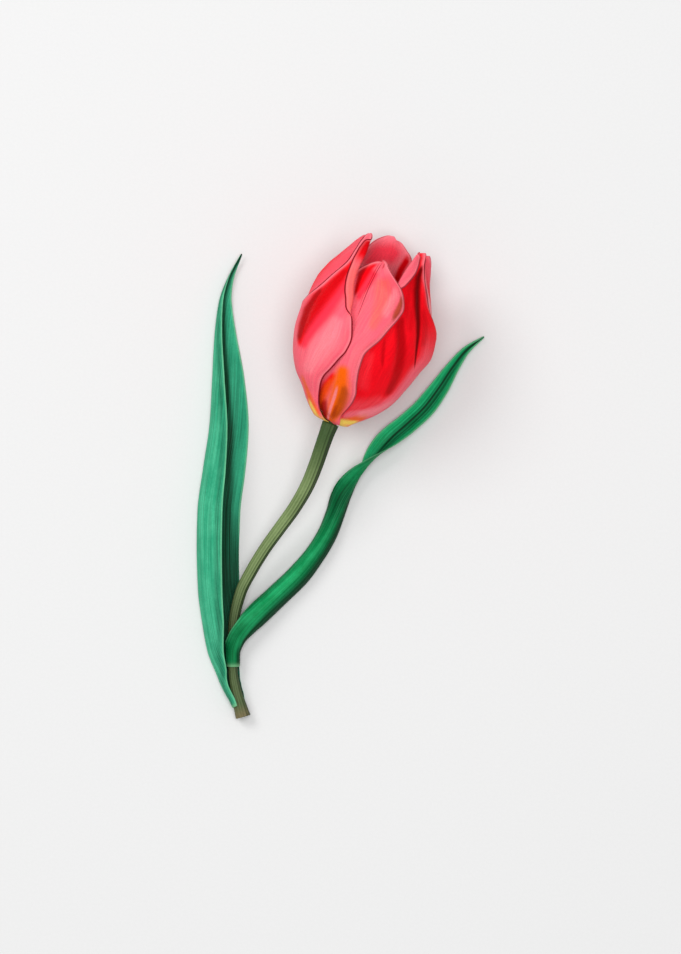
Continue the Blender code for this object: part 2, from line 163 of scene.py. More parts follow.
# Margins that lie over bend in towards their neighbour: how far and over what width. A pair of
# numbers is where a change starts or ends, and over what length it happens
TUCK_DEPTH = 0.9
TUCK_WIDTH = 2.2
TUCK_FROM = (0.0, 4.0)
TUCK_TO_ROLL = {"petal_left": (42.0, 8.0), "petal_right": (62.0, 8.0)}
# Folds, waves and tucks die away over this length below a petal's tip
TIP_CALM = 12.0

# Sheets: thickness in the middle and at the margin, how wide the thinning is, how far past the
# tip it is counted from, and how far the rim stands out as a share of the thickness
PETAL_SHEET = (0.56, 0.20, 3.0)
LEAF_SHEET = (0.56, 0.26, 2.0)
PETAL_PAST_TIP = 0.2
LEAF_PAST_TIP = 0.4
RIM_ROUNDING = 0.45
# Grid of a petal, and the power by which its rows crowd towards the tip
PETAL_ROWS = 150
PETAL_COLUMNS = 108
ROWS_TO_TIP = 1.5

# Folds pressed into the outer face: depth, then height, distance to the right of the axis
# and half width, all as seen from above the flower
FOLDS = {
    "petal_left": [
        (0.3, [(50.5, -15.5, 1.6), (43, -17.5, 2), (36, -19, 2), (29.5, -20, 1.5)]),
        (0.25, [(58, -18.5, 1), (47.5, -22.6, 1.3), (38.5, -24.2, 1.3), (31, -23.6, 1)]),
        (-0.25, [(55, -16.5, 1.8), (44, -20.5, 2), (33, -21.8, 1.8)]),
    ],
    "petal_front": [
        (0.22, [(67, -3.5, 0.5), (62, -4.6, 0.55), (56, -5.6, 0.55), (50, -6.2, 0.5),
            (42, -5.6, 0.4)]),
        (-0.3, [(16.5, -2.5, 0.6), (11.5, -2.5, 0.8), (6.5, -3, 0.8), (2.5, -2.5, 0.6)]),
        (0.35, [(9.5, 1, 1.5), (5, -0.4, 1.2)]),
        (0.35, [(9.5, -6, 1.5), (5, -5.2, 1.2)]),
        (0.45, [(56, 7, 1), (52, 7.6, 1.4), (48, 7.2, 1.1)]),
    ],
    "petal_right": [
        (0.4, [(70, 11, 0.9), (60, 14.5, 1.1), (51.5, 17.5, 1), (42.5, 20.5, 0.9),
            (33.5, 23, 0.8)]),
        (0.45, [(56.5, 11, 1), (50.5, 12, 1.4), (44, 13.5, 1.8), (36.5, 16, 1.9), (28, 16.5, 1.8)]),
        (0.35, [(38.5, 7.6, 0.9), (32.5, 10, 1.2), (27, 12, 1)]),
        (-0.3, [(62, 12, 1.2), (50, 15, 1.4), (38, 18.8, 1.5)]),
        (-0.3, [(45, 10.5, 1.5), (34, 13, 1.6), (25, 14, 1.5)]),
    ],
}
FOLDS_FROM = (3.0, 8.0)
FOLDS_AT_MARGIN = (-1.0, 3.0)
MIDRIB_DEPTH = 0.22
MIDRIB_HALF_WIDTH = 0.8
# Waves along the margins: depth, length, how far in they reach, and by how much the right
# margin's lag in radians
WAVE_DEPTH = 0.30
WAVE_LENGTH = 13.0
WAVE_REACH = 4.0
WAVES_FROM = (18.0, 20.0)
RIGHT_WAVE_SHIFT = 2.0

# Folds and strokes of paint: share of the half width that is full, share over which it fades,
# and how they taper at their ends
STROKE_CORE = 0.35
STROKE_FADE = 1.15
STROKE_TAPER = 3.0
STROKE_TAPER_SHARE = 0.3
# Strokes fade where the face turns down: upward part of its normal, and over what range
STEEP = (0.02, 0.35)

# Layers of paint, each over the ones before it: deep and brown are painted shade, pale is a painted
# highlight
PAINT_LAYERS = ("rose", "red", "pink", "gold", "deep", "brown", "yellow", "pale", "black")
# Colour that covers a whole outer face before its strokes
GROUND = {
    "petal_right": {"red": 0.92, "rose": 1.0},
    "petal_back": {"rose": 0.35},
    "petal_back_left": {"rose": 0.30},
    "petal_back_right": {"rose": 0.35},
}
# Strokes of paint on the outer face: layer, strength, then height, distance to the right of
# the axis and half width, all as seen from above the flower
PAINT = {
    "petal_left": [
        ("rose", 0.9, [(57, -14.5, 1.8), (50, -15.8, 3.3), (43, -17.5, 4), (36.5, -19.3, 3.8),
            (31, -20.4, 2.8), (26, -20.9, 2), (22, -20.5, 0.9)]),
        ("red", 1, [(64.5, -14.2, 0.9), (60.5, -15.2, 1.4), (55.5, -17, 2.2), (50, -19.2, 3.1),
            (44, -21.6, 3.6), (37.5, -23.2, 3.2), (31.5, -23.6, 2.1), (26, -23, 1.2),
            (22.5, -22.1, 0.5)]),
        ("deep", 0.9, [(49.5, -21.8, 0.5), (44, -23.6, 1.2), (38.5, -24.6, 1.6), (32.5, -24.4, 1.5),
            (27.5, -23.8, 1.1), (24.5, -23.1, 0.5)]),
        ("deep", 0.45, [(60, -15.6, 0.8), (55, -17, 1.6), (49, -19.2, 2.4), (43, -21.2, 2.8),
            (37, -22.6, 2.6), (31, -23, 1.8), (27, -22.6, 0.8)]),
        ("gold", 0.8, [(14, -18.3, 0.5), (9.5, -14.3, 0.8), (5, -10.4, 1.2), (1.5, -6.7, 1.2),
            (-1, -4.4, 0.9)]),
        ("yellow", 1, [(6, -12.2, 0.4), (2.5, -9, 0.8), (0, -6.4, 1), (-2.5, -3.3, 1.2)]),
        ("pale", 0.5, [(41, -11.5, 2.2), (33.5, -12.4, 3.8), (25.5, -14.6, 4.4), (18, -15.7, 2.7),
            (13.5, -14.7, 1.3)]),
    ],
    "petal_front": [
        ("rose", 0.9, [(63.5, -4.9, 2.2), (57.5, -6.4, 2.4), (52, -7.4, 1.3), (47.5, -7.3, 0.7)]),
        ("rose", 0.38, [(63.5, -0.7, 1.8), (60, 1.2, 2.9), (57.5, 4.3, 2), (54, 5, 0.9)]),
        ("red", 1, [(66.5, -5, 0.7), (63, -7.7, 1.7), (58.5, -8.6, 1.6), (54, -9, 1.2),
            (49.5, -8.9, 0.4)]),
        ("red", 1, [(20, -5, 0.9), (13, -6.8, 2.1), (8.5, -7.4, 2), (4.5, -6.5, 1.5),
            (0.5, -4.4, 1.3)]),
        ("deep", 0.9, [(66, -7.7, 0.5), (63, -9.6, 1.2), (58.5, -10.1, 1.1), (54, -9.7, 0.7),
            (48.5, -8.8, 0.35)]),
        ("deep", 0.6, [(67, -2.6, 0.25), (65, -2.5, 0.3), (63.5, -2.6, 0.2)]),
        ("deep", 0.3, [(57.5, 8.2, 0.4), (54, 9.2, 0.7), (50, 9.2, 1), (46.5, 8.6, 0.5)]),
        ("deep", 0.85, [(9, -5.4, 0.6), (5.5, -5, 1.3), (1.5, -3.5, 1.5), (-1.5, -1.8, 1.3)]),
        ("deep", 0.6, [(8, -0.5, 0.5), (4.5, -0.1, 0.8), (1, 0, 0.8)]),
        ("gold", 0.3, [(61.5, -1.7, 2.2), (56, 0.2, 3.3), (52, 2.2, 3.6), (46.5, 2.1, 2.7),
            (42.5, 2, 2), (38.5, 2.7, 0.9)]),
        ("gold", 1, [(24, -3.2, 0.9), (20, -2.8, 2.6), (15, -1.7, 3.7), (10.5, -0.6, 3.9),
            (5.5, -0.3, 3.5), (1.5, -0.8, 2.7), (-2, -1.3, 1.8)]),
        ("gold", 0.5, [(17.5, -4.4, 1.3), (12.5, -5.8, 2.2), (7.5, -6.3, 2.3), (3.5, -5.4, 1.8),
            (-0.5, -3.6, 1.3)]),
        ("brown", 0.7, [(16.5, -0.7, 0.8), (12.5, 0.9, 1.7), (8, 1.1, 2), (3.5, 0.5, 1.6),
            (0.5, -0.2, 1.1)]),
        ("brown", 0.75, [(58, 8, 0.4), (54, 8.9, 0.9), (49.5, 8.8, 1.3), (45, 8.2, 0.5)]),
        ("pale", 0.5, [(60, 4.4, 0.8), (56, 5.6, 1.5), (51, 5.2, 1.8), (45, 4.4, 1.4)]),
        ("pale", 0.75, [(15, -2.8, 0.35), (10, -2.3, 0.6), (5.5, -2.1, 0.6), (1.5, -1.7, 0.5),
            (-2, -1.3, 0.4)]),
    ],
    "petal_right": [
        ("pink", 1, [(27, 24, 2), (23.5, 23, 2.4), (18, 20.8, 2.4), (12.5, 17, 2.3), (8, 11.8, 2.3),
            (5, 6.4, 2.3), (2, 2.9, 1.8)]),
        ("pink", 0.3, [(16, 18, 3), (10.5, 13, 4), (8, 7.5, 4), (7, 3.5, 3)]),
        ("pink", 0.1, [(33, 4.5, 1.5), (24, 5, 2.6), (15, 6, 3.6)]),
        ("pale", 0.6, [(26, 24.6, 0.6), (18, 21.8, 1), (12, 17.2, 1.4), (8.5, 12.2, 1.4),
            (6, 7.6, 1.2)]),
        ("deep", 0.35, [(66.5, 9.8, 0.9), (60, 11, 2), (54, 12.6, 2.2), (48, 14.8, 1.8),
            (43, 16.5, 0.9)]),
        ("deep", 0.75, [(50, 11, 0.8), (45, 11.9, 1.9), (40.5, 14.2, 2.2), (36, 15.9, 2.2),
            (31, 17.1, 2), (26, 17.5, 1.7), (20.5, 17.1, 1.4), (16.5, 16.2, 0.7)]),
        ("deep", 0.4, [(56, 17.1, 0.9), (50, 20.6, 1.3), (44.5, 22.5, 1.3), (39.5, 23.3, 1)]),
        ("gold", 0.85, [(9, 13.3, 0.5), (6, 10.5, 1.2), (3.5, 6.7, 1.2), (2, 3.1, 1.1)]),
        ("yellow", 1, [(4.5, 11.1, 0.4), (2.5, 7.1, 1), (1.5, 3.2, 1.2), (2, -0.3, 1.2)]),
    ],
    "petal_back_left": [
        ("rose", 0.45, [(67.5, -15.1, 0.9), (64, -17.4, 1.7), (59, -20.3, 1.9), (53.5, -23.4, 1.6),
            (48, -25.6, 0.9)]),
    ],
}
# Strokes on the inner face, where the open flower shows it. On petal_back the red and deep strokes
# paint a narrow slot between petals, the deep one its painted shade
INNER_PAINT = {
    "petal_back": [
        ("rose", 0.85, [(62, -8.5, 3), (70, -6.4, 4), (71.5, -2.2, 4.2), (70, 2.6, 3)]),
        ("red", 1, [(74, 5.6, 1.4), (72, 5.3, 1.5), (67, 4.3, 1.5), (62, 4.1, 1.4), (60, 4, 1.2)]),
        ("deep", 0.35, [(74, 5.6, 1), (72, 5.3, 1.1), (67, 4.3, 1.1), (62, 4.1, 1), (60, 4, 0.9)]),
    ],
}

# Soft bands of paint: where each starts, ends or has its middle, how wide its edge is, and its
# strength unless it is full. In mm of height or from the margin, or shares of half the width
PINK_FROM = (6.0, 10.0)
PINK_MARGIN = (0.0, 1.6, 0.7)
YELLOW_BASE = (2.6, 2.4)
GOLD_BASE = (6.0, 3.2, 0.8)
HEART_SIDES = (0.72, 0.62)
HEART_FROM = (12.0, 12.0)
HEART_PAST_TIP = 4.0
HEART_FADE = 24.0
HEART_RED = 0.9
HEART_LINE = (0.0, 0.05, 0.6)
RIGHT_PETAL_PINK = (0.10, 0.26)
RIGHT_PETAL_PINK_TO = (52.0, 26.0)
BACK_RIGHT_PALE = (-0.08, 0.26)
BACK_RIGHT_PALE_FROM = (40.0, 18.0)
# Dark blotch at the foot of each inner face, lower at the margins, with a wavy yellow border
BLOTCH_TOP = 22.0
BLOTCH_DROP = 10.0
BLOTCH_WAVE = 1.2
BLOTCH_WAVES = 9
BLOTCH_EDGE = 1.6
BLOTCH_FROM = (2.6, 2.0)
BLOTCH_BORDER = (0.9, 1.3)
INNER_YELLOW = (3.6, 2.0)
INNER_ROSE = (0.0, 0.28, 0.8)
INNER_ROSE_FROM = (24.0, 14.0)
INNER_ROSE_TO = (66.0, 10.0)
INNER_PALE_FROM = (52.0, 12.0, 0.25)
# Rolled flap of petal_left
FLAP_RED_FROM = (61.0, 6.0)
FLAP_DEEP_FROM = (62.0, 9.0, 0.55)
FLAP_GOLD_TO = (66.0, 8.0, 0.30)

# Thin creases drawn on the outer face, as painted shade: height, distance to the right of the axis
# and half width
CREASES = {
    "petal_front": {
        "first_line": [(67, -4.3, 0.25), (61.5, -5.2, 0.38), (56, -5.7, 0.35), (52, -5.8, 0.28),
            (46, -6.1, 0.15)],
        "second_line": [(67, -3.5, 0.12), (62, -4.3, 0.2), (56, -4.9, 0.2), (51, -5.1, 0.18),
            (41, -5, 0.08)],
    },
    "petal_right": {
        "crease": [(72, 11.6, 0.3), (66, 11.8, 1.5), (60.5, 13.2, 1.7), (55, 15.4, 1.6),
            (49, 18.2, 1.2), (44.5, 19.8, 0.9), (39.5, 21.1, 0.6), (35, 22.3, 0.35),
            (31, 23.4, 0.12)],
        "first_line": [(39.5, 7.8, 0.3), (34.5, 9, 0.95), (30.5, 10.1, 0.85), (26.5, 11.6, 0.3)],
        "second_line": [(76, 12.1, 0.3), (71.5, 12.4, 0.35), (67.5, 13.9, 0.3), (62, 16.6, 0.28),
            (57.5, 19.2, 0.25), (53.5, 22, 0.22), (50.5, 24.3, 0.12)],
    },
}
CREASE_NAMES = ("crease", "first_line", "second_line")
FAR_FROM_CREASE = 9.0
CREASE_TAPER = 3.0

# Dark line along a petal's margin, a painted shadow: its strength, where it starts and how it pales
# at the tip
MARGIN_LINES = {
    "petal_left": 1.0, "petal_front": 0.75, "petal_right": 0.8,
    "petal_back": 0.35, "petal_back_left": 0.6, "petal_back_right": 0.5,
}
LINE_FROM = (2.0, 4.0)
LINE_TIP = 3.0
LINE_TIP_PALING = 0.7
# How much of the pale rim, a painted highlight, a roll loses, and the mm that half a petal's width
# counts as for its fibres, which fan out with the petal
RIM_LOSS_ON_ROLL = 0.6
FIBRE_SPREAD = 40.0

# Leaves: keel x, y, z, half widths of the left and right lobes, the roll that turns the
# trough, and how steeply each lobe leaves the keel and ends, in degrees
LEAVES = {
    "lower_leaf": [
        (-42.7, -92.4, 1.9, 5.4, 5, -58, -8, 104, 0, 92),
        (-44, -89.6, 1.85, 6, 6.2, -58, 0, 100, 10, 90),
        (-45.8, -87, 1.5, 6.6, 7.2, -58, 12, 94, 30, 82),
        (-47.6, -84, 0.9, 6.6, 8, -60, 24, 88, 46, 74),
        (-49.8, -78.8, 0.5, 9.2, 9.6, -60, 30, 90, 56, 64),
        (-53.2, -70.3, 0.4, 12.6, 12.4, -60, 33, 92, 59, 61),
        (-55.4, -59, 0.4, 15.6, 15, -60, 35, 96, 60, 60),
        (-57.2, -45, 0.4, 17, 16.4, -60, 36, 98, 60, 60),
        (-57.7, -28, 0.4, 17.6, 16.8, -60, 36, 98, 60, 60),
        (-57.4, -14, 0.4, 17.4, 17, -60, 36, 98, 60, 60),
        (-55.2, 3, 0.4, 16.2, 16.8, -60, 36, 96, 60, 60),
        (-52.4, 22, 0.4, 14, 15.4, -60, 33, 90, 60, 60),
        (-51.3, 40, 0.4, 10.8, 12.6, -59, 30, 86, 59, 59),
        (-50.4, 56, 0.5, 7.4, 8.8, -57, 30, 84, 58, 58),
        (-48.6, 70, 0.9, 4.6, 5, -54, 30, 78, 56, 56),
        (-44.8, 80.4, 1.5, 2.2, 2, -48, 30, 60, 50, 50),
        (-39.8, 89.6, 2.4, 0.3, 0.3, -40, 30, 40, 40, 40),
    ],
    "upper_leaf": [
        (-43.2, -76.2, 6.5, 5.4, 5.4, 180, 0, 118, 0, 118),
        (-43.3, -71, 6.9, 5.6, 5.2, 180, 0, 116, 0, 112),
        (-42, -65.6, 7.8, 6.2, 3.6, 180, 6, 96, -10, 8),
        (-38.6, -60.4, 8.8, 7, 3.8, 180, 14, 84, -6, 12),
        (-33.8, -55.4, 8.9, 7.8, 5.6, 180, 20, 80, 14, 56),
        (-25.8, -47.8, 8.2, 8.6, 7.6, 180, 25, 84, 25, 82),
        (-17, -39.4, 7.6, 8.6, 8, 180, 25, 86, 25, 86),
        (-9.9, -30.6, 7.3, 8, 7.8, 180, 28, 88, 28, 88),
        (-4.9, -22.6, 7, 7.6, 7.6, 178, 28, 88, 28, 88),
        (-1.6, -15.6, 6.8, 7.2, 7.2, 172, 28, 86, 28, 86),
        (1.4, -9.2, 6.9, 6.8, 6.6, 156, 24, 70, 26, 76),
        (6.2, -1.8, 6.55, 6.4, 5.8, 122, 16, 50, 18, 56),
        (11.4, 4.9, 5.8, 5.8, 5.6, 86, 12, 42, 12, 42),
        (16.4, 10.8, 4.4, 5.4, 5.4, 48, 14, 42, 14, 42),
        (20.9, 16, 2.9, 5.1, 5.1, 16, 18, 44, 18, 44),
        (26.6, 21.3, 1.4, 5, 5, 0, 22, 44, 22, 44),
        (33.4, 27.8, 0.6, 5, 5, -4, 22, 44, 22, 44),
        (39.6, 36, 0.5, 4.4, 4.4, -6, 22, 44, 22, 44),
        (45.1, 44.2, 0.9, 3, 3, -4, 22, 40, 22, 40),
        (50.6, 51, 1.5, 1.7, 1.7, 0, 22, 34, 22, 34),
        (57.6, 56.3, 2.3, 0.3, 0.3, 0, 20, 20, 20, 20),
    ],
}
LEAF_ROWS = {"lower_leaf": 300, "upper_leaf": 320}
LOBE_COLUMNS = 30
KEEL_ROUNDING_PASSES = 5
# Fine ribs along a leaf, the pale collar at its foot, and where the painted shade along its midrib
# comes into view
RIB_DEPTH = 0.05
RIB_SPACING = 1.7
RIBS_FROM_MARGIN = (0.5, 2.0)
RIBS_FROM_END = (4.0, 10.0)
COLLAR = (0.0, 1.0)
MIDRIB_FROM_Y = {"lower_leaf": (40.0, 12.0), "upper_leaf": (2.0, 12.0)}

# Shade on the lower leaf: how far right of its near margin the trough is dark, as y and
# reach, then bands beside the margin of its outer face
TROUGH_REACH = [(-90, 9), (-60, 12), (-35, 10), (-15, 5.5), (5, 3.2), (40, 2.2), (85, 1.2)]
TROUGH_FADE = (1.35, 1.0)
LOWER_BAND = (2.0, 1.6, 0.50)
LOWER_SECOND_BAND = (4.5, 2.2, 0.15)
LOWER_SECOND_TO_Y = (-30.0, 40.0)
# Shade on the upper leaf: bands across it, as shares of its width, then by y
UPPER_LEFT_BAND = (0.60, 0.38, 1.10)
UPPER_RIGHT_BAND = (0.70, 0.28, 0.45)
UPPER_INNER_BANDS = ((0.66, 0.15, 0.75), (0.40, 0.10, 0.35))
UPPER_FOOT_TO_Y = (-48.0, 16.0, 0.45)
UPPER_TWIST_Y = (-9.0, 11.0, 0.80)

# Stem: x, y, z and radius of its centre line, from the cut end to the flower's neck
STEM = [
    (-39.1, -96.4, 3.1, 2.95),
    (-40.4, -91.8, 3.3, 2.55),
    (-42, -85.7, 3.5, 2.15),
    (-43.2, -77.7, 3.9, 1.85),
    (-43.4, -68, 4.5, 1.85),
    (-42.8, -58, 5.4, 2.05),
    (-39.9, -46, 7.2, 2.25),
    (-35.9, -38, 8.9, 2.35),
    (-30.5, -29.1, 11.2, 2.4),
    (-24.1, -20.2, 14, 2.5),
    (-18.4, -12.3, 16.9, 2.6),
    (-12.9, -2.6, 20.3, 2.75),
    (-9.7, 5.3, 22.8, 2.85),
    (-7.4, 12, 24.6, 2.9),
]
# Top of the stem, on the flower's axis: distance past the base point and radius
STEM_HEAD = [(-5.0, 3.0), (-2.2, 3.2), (-0.75, 3.3), (-0.60, 2.35), (1.4, 2.3), (3.0, 2.1)]
# Where rings lie on it: evenly from, to and how many, then one by one, the last two smaller
NECK_RINGS = (-4.4, -0.78, 8)
HEAD_RINGS = (-0.70, -0.62, -0.5, 0.2, 1.0, 1.8, 2.6, 2.9, 3.0)
STEM_TOP_RADII = (1.9, 1.3)
# Cut end: how far each ring lies from the end, its share of the radius, and how cut it looks
CUT_EDGE = [
    (0.30, 0.25, 1.0), (0.22, 0.55, 1.0), (0.10, 0.80, 1.0),
    (0.0, 0.93, 1.0), (0.10, 0.985, 0.5), (0.30, 1.0, 0.0),
]
STEM_STEPS = 150
STEM_SIDES = 96
STEM_RIBS = 12.0
STEM_RIB_SHARE = 0.035

# Pistil: height above the flower's base point and radius, then its three-lobed stigma
PISTIL = [(3.3, 2.0), (4.6, 2.7), (8.0, 3.1), (14.0, 3.0), (19.0, 2.4), (21.6, 2.0), (23.4, 1.6)]
PISTIL_LOBES = 3
PISTIL_LOBE_SHARE = 0.12
PISTIL_ROWS = 60
PISTIL_SIDES = 72
STIGMA_FROM = (21.2, 1.2)
STIGMA_DOME_FROM = 22.6
STIGMA_TOP = 24.0
DOME_LEAST_SQUARE = 0.02
STIGMA_REACH = 4.1
STIGMA_WAIST = 1.5
STIGMA_POINTEDNESS = 1.5
FRILLS = 24
FRILL_SHARE = 0.03

# Stamens: radius from the axis, height and thickness of the filament, then the anther
FILAMENT = [(3.30, 2.2, 0.70), (3.9, 4.4, 0.62), (5.0, 8.0, 0.52), (5.4, 10.0, 0.50)]
ANTHER = [
    (5.5, 10.4, 0.85), (5.9, 12.0, 1.20), (6.3, 17.0, 1.20), (6.6, 22.0, 0.95), (6.7, 23.4, 0.45),
]
ANTHER_TIP_SHARE = 0.5
STAMEN_COUNT = 6
STAMEN_FIRST_DEG = 33.0
STAMEN_STEPS = 60
STAMEN_SIDES = 28
ANTHER_LOBES = 4.0
ANTHER_LOBE_SHARE = 0.14

# Colours, as the light reflects
PINK = (0.95, 0.120, 0.175)
WARM_PINK = (0.97, 0.160, 0.200)
# Pale pink of the painted highlights on the petals
PALE_PINK = (0.97, 0.270, 0.310)
# Painted shade under overlapping margins and in folds and creases
DEEP_RED = (0.40, 0.0005, 0.002)
# Darkest painted shade, deep in a crease
BLACK_RED = (0.060, 0.001, 0.002)
# Painted shadow along the margins and beside creases
MARGIN_RED = (0.230, 0.001, 0.008)
OLIVE_BLACK = (0.028, 0.024, 0.010)
LAYER_COLOURS = {
    "rose": (0.97, 0.024, 0.058),
    "red": (0.93, 0.002, 0.008),
    "gold": (0.93, 0.125, 0.003),
    "deep": DEEP_RED,
    # Grey-brown painted shade in the fold of a margin
    "brown": (0.36, 0.045, 0.003),
    "yellow": (0.98, 0.66, 0.12),
    "pale": PALE_PINK,
}
BLUISH_INNER = ((0.022, 0.360, 0.190), (0.045, 0.480, 0.260))
BLUISH_OUTER = ((0.028, 0.370, 0.195), (0.072, 0.510, 0.285))
GREEN_INNER = ((0.008, 0.360, 0.120), (0.022, 0.480, 0.190))
GREEN_OUTER = ((0.003, 0.260, 0.075), (0.020, 0.420, 0.150))
SHADE_GREEN = (0.001, 0.030, 0.010)
# Painted highlight along the leaves' margins
RIM_GREEN = (0.20, 0.56, 0.30)
COLLAR_GREEN = (0.22, 0.50, 0.25)
STEM_GREENS = ((0.120, 0.175, 0.062), (0.175, 0.245, 0.095))
STEM_RIDGE = (0.26, 0.35, 0.15)
STEM_NECK = (0.045, 0.085, 0.025)
STEM_SHADE = (0.020, 0.036, 0.012)
STEM_FOOT = (0.16, 0.13, 0.06)
STEM_CUT = (0.36, 0.37, 0.20)
# Direction of the stem's painted shade, towards its lower right side
STEM_SHADED_SIDE = (0.88, -0.47, 0.0)
PISTIL_GREENS = ((0.42, 0.50, 0.16), (0.52, 0.56, 0.24))
POLLEN = ((0.030, 0.015, 0.030), (0.055, 0.030, 0.045))
BOARD = ((0.725, 0.725, 0.725), (0.735, 0.735, 0.735))

# Lines drawn on a petal as painted shade in its creases: crease, where each side starts and ends
# to fade as a share of the half width, strength and colour
DRAWN_LINES = [
    ("crease", 0.4, 1.5, 1.0, DEEP_RED),
    ("crease", 0.1, 0.9, 0.65, BLACK_RED),
    ("first_line", 0.1, 1.5, 0.5, DEEP_RED),
    ("second_line", 0.4, 1.5, 0.7, MARGIN_RED),
]


def slopes(xs, ys):
    """Slope at each row, flat where the values turn, so that a curve never overshoots them."""
    steps = np.diff(xs)[:, None]
    rates = np.diff(ys, axis=0) / steps
    before, after = rates[:-1], rates[1:]
    same = before * after > 0
    w1 = 2 * steps[1:] + steps[:-1]
    w2 = steps[1:] + 2 * steps[:-1]
    mean = (w1 + w2) / (w1 / np.where(same, before, 1.0) + w2 / np.where(same, after, 1.0))
    return np.concatenate([rates[:1], np.where(same, mean, 0.0), rates[-1:]])


def smooth_rows(xs, ys, wanted):
    """Values at the wanted places on a smooth curve through the rows."""
    rise = slopes(xs, ys)
    wanted = np.clip(wanted, xs[0], xs[-1])
    index = np.clip(np.searchsorted(xs, wanted, side="right") - 1, 0, len(xs) - 2)
    step = (xs[index + 1] - xs[index])[:, None]
    t = (wanted - xs[index])[:, None] / step
    return (
        (2 * t**3 - 3 * t**2 + 1) * ys[index]
        + (t**3 - 2 * t**2 + t) * step * rise[index]
        + (-2 * t**3 + 3 * t**2) * ys[index + 1]
        + (t**3 - t**2) * step * rise[index + 1]
    )


def by_height(table, heights):
    """Values at the wanted heights, from a table whose rows start with a height."""
    table = np.array(table, float)
    return smooth_rows(table[:, 0], table[:, 1:], heights)


def along(points):
    """Distance along a row of points, from the first."""
    lengths = np.linalg.norm(np.diff(points, axis=0), axis=1)
    return np.concatenate([[0.0], np.cumsum(lengths)])


def smoothstep(x):
    x = np.clip(x, 0.0, 1.0)
    return x * x * (3 - 2 * x)


def rising(x, start, over, full=1.0):
    """0 before the start, then smoothly up to full over the given length."""
    return full * smoothstep((x - start) / over)


def falling(x, end, over, full=1.0):
    """Full at first, then smoothly down to 0 at the end, over the given length."""
    return full * smoothstep((end - x) / over)


def bell(x, middle, width, full=1.0):
    return full * np.exp(-(((x - middle) / width) ** 2))


def unit(vectors):
    return vectors / np.linalg.norm(vectors, axis=-1, keepdims=True)


def square_to(vectors, directions):
    """What is left of the vectors without their part along the directions."""
    return vectors - directions * np.sum(vectors * directions, axis=1, keepdims=True)


def flower_axes():
    """Axis, right-hand side and front of the flower."""
    lean = math.radians(FLOWER_LEAN_DEG)
    rise = math.radians(FLOWER_RISE_DEG)
    flat = np.array([math.sin(lean), math.cos(lean), 0.0])
    up = np.array([0.0, 0.0, 1.0])
    axis = flat * math.cos(rise) + up * math.sin(rise)
    front = up * math.cos(rise) - flat * math.sin(rise)
    side = np.array([math.cos(lean), -math.sin(lean), 0.0])
    return axis, side, front


AXIS, SIDE, FRONT = flower_axes()
SEEN_AHEAD = unit(AXIS * np.array([1.0, 1.0, 0.0]))


def seen_place(points):
    """Height along the flower and distance to the right of its axis, as seen from above."""
    away = points - FLOWER_BASE
    return away @ SEEN_AHEAD, away @ SIDE


def line_pieces(ahead, aside, places):
    """For each piece of the line through the places: how far along the line it starts, its length,
    how far points lie along it, to its right and from it, and its half width beside them."""
    reached = along(np.array(places)[:, :2])
    for (a0, x0, w0), (a1, x1, w1), start in zip(places, places[1:], reached):
        length = math.hypot(a1 - a0, x1 - x0)
        walked = ((ahead - a0) * (a1 - a0) + (aside - x0) * (x1 - x0)) / length
        away = ((aside - x0) * (a1 - a0) - (ahead - a0) * (x1 - x0)) / length
        gap = np.hypot(away, np.maximum(np.maximum(-walked, walked - length), 0))
        yield start, length, walked, away, gap, w0 + (w1 - w0) * np.clip(walked / length, 0, 1)


def stroke(ahead, aside, places):
    """Soft mask, 1 along a line through the places, fading across its width and at its ends."""
    total = along(np.array(places)[:, :2])[-1]
    taper = min(STROKE_TAPER, STROKE_TAPER_SHARE * total)
    best = np.zeros_like(ahead)
    for start, length, walked, _, gap, width in line_pieces(ahead, aside, places):
        reached = start + np.clip(walked, 0, length)
        ends = smoothstep(np.minimum(reached, total - reached) / taper)
        best = np.maximum(best, ends * (1 - rising(gap / width, STROKE_CORE, STROKE_FADE)))
    return best


def crease_gap(ahead, aside, places):
    """Distance to the right of a crease as a share of its half width there, and how far the
    crease reaches, 1 along it and 0 past its ends."""
    total = along(np.array(places)[:, :2])[-1]
    nearest = np.full_like(ahead, np.inf)
    share, reach = np.zeros_like(ahead), np.zeros_like(ahead)
    for start, _, walked, away, gap, width in line_pieces(ahead, aside, places):
        closer = gap < nearest
        to_end = np.minimum(start + walked, total - start - walked)
        share = np.where(closer, away / width, share)
        reach = np.where(closer, smoothstep(to_end / CREASE_TAPER), reach)
        nearest = np.minimum(gap, nearest)
    return np.clip(share, -FAR_FROM_CREASE, FAR_FROM_CREASE), reach


def grid_normals(points):
    """Normals of a grid, towards the side from which its columns run rightwards and its rows up."""
    return unit(np.cross(np.gradient(points, axis=1), np.gradient(points, axis=0)))


def margin_distance(points):
    """How far each point is, along its row of a grid, from the left, right and nearer margin."""
    steps = np.linalg.norm(np.diff(points, axis=1), axis=2)
    left = np.concatenate([np.zeros((len(points), 1)), np.cumsum(steps, axis=1)], axis=1)
    right = left[:, -1:] - left
    return left, right, np.minimum(left, right)


def sheet_thickness(inward, middle, margin, thinning):
    return margin + (middle - margin) * smoothstep(inward / thinning)


def add_object(name, data):
    made = bpy.data.objects.new(name, data)
    bpy.context.scene.collection.objects.link(made)
    return made


def add_values(mesh, values):
    """Gives each point of the mesh a number under each name, for a material or a tree to read."""
    for name, numbers in values.items():
        attribute = mesh.attributes.new(name, "FLOAT", "POINT")
        attribute.data.foreach_set("value", np.asarray(numbers, np.float32))


def stand_in(piece, slot, *nodes):
    """The piece takes the place of the named nodes, on the plant's one body."""
    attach(piece, "root")
    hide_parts(*nodes)


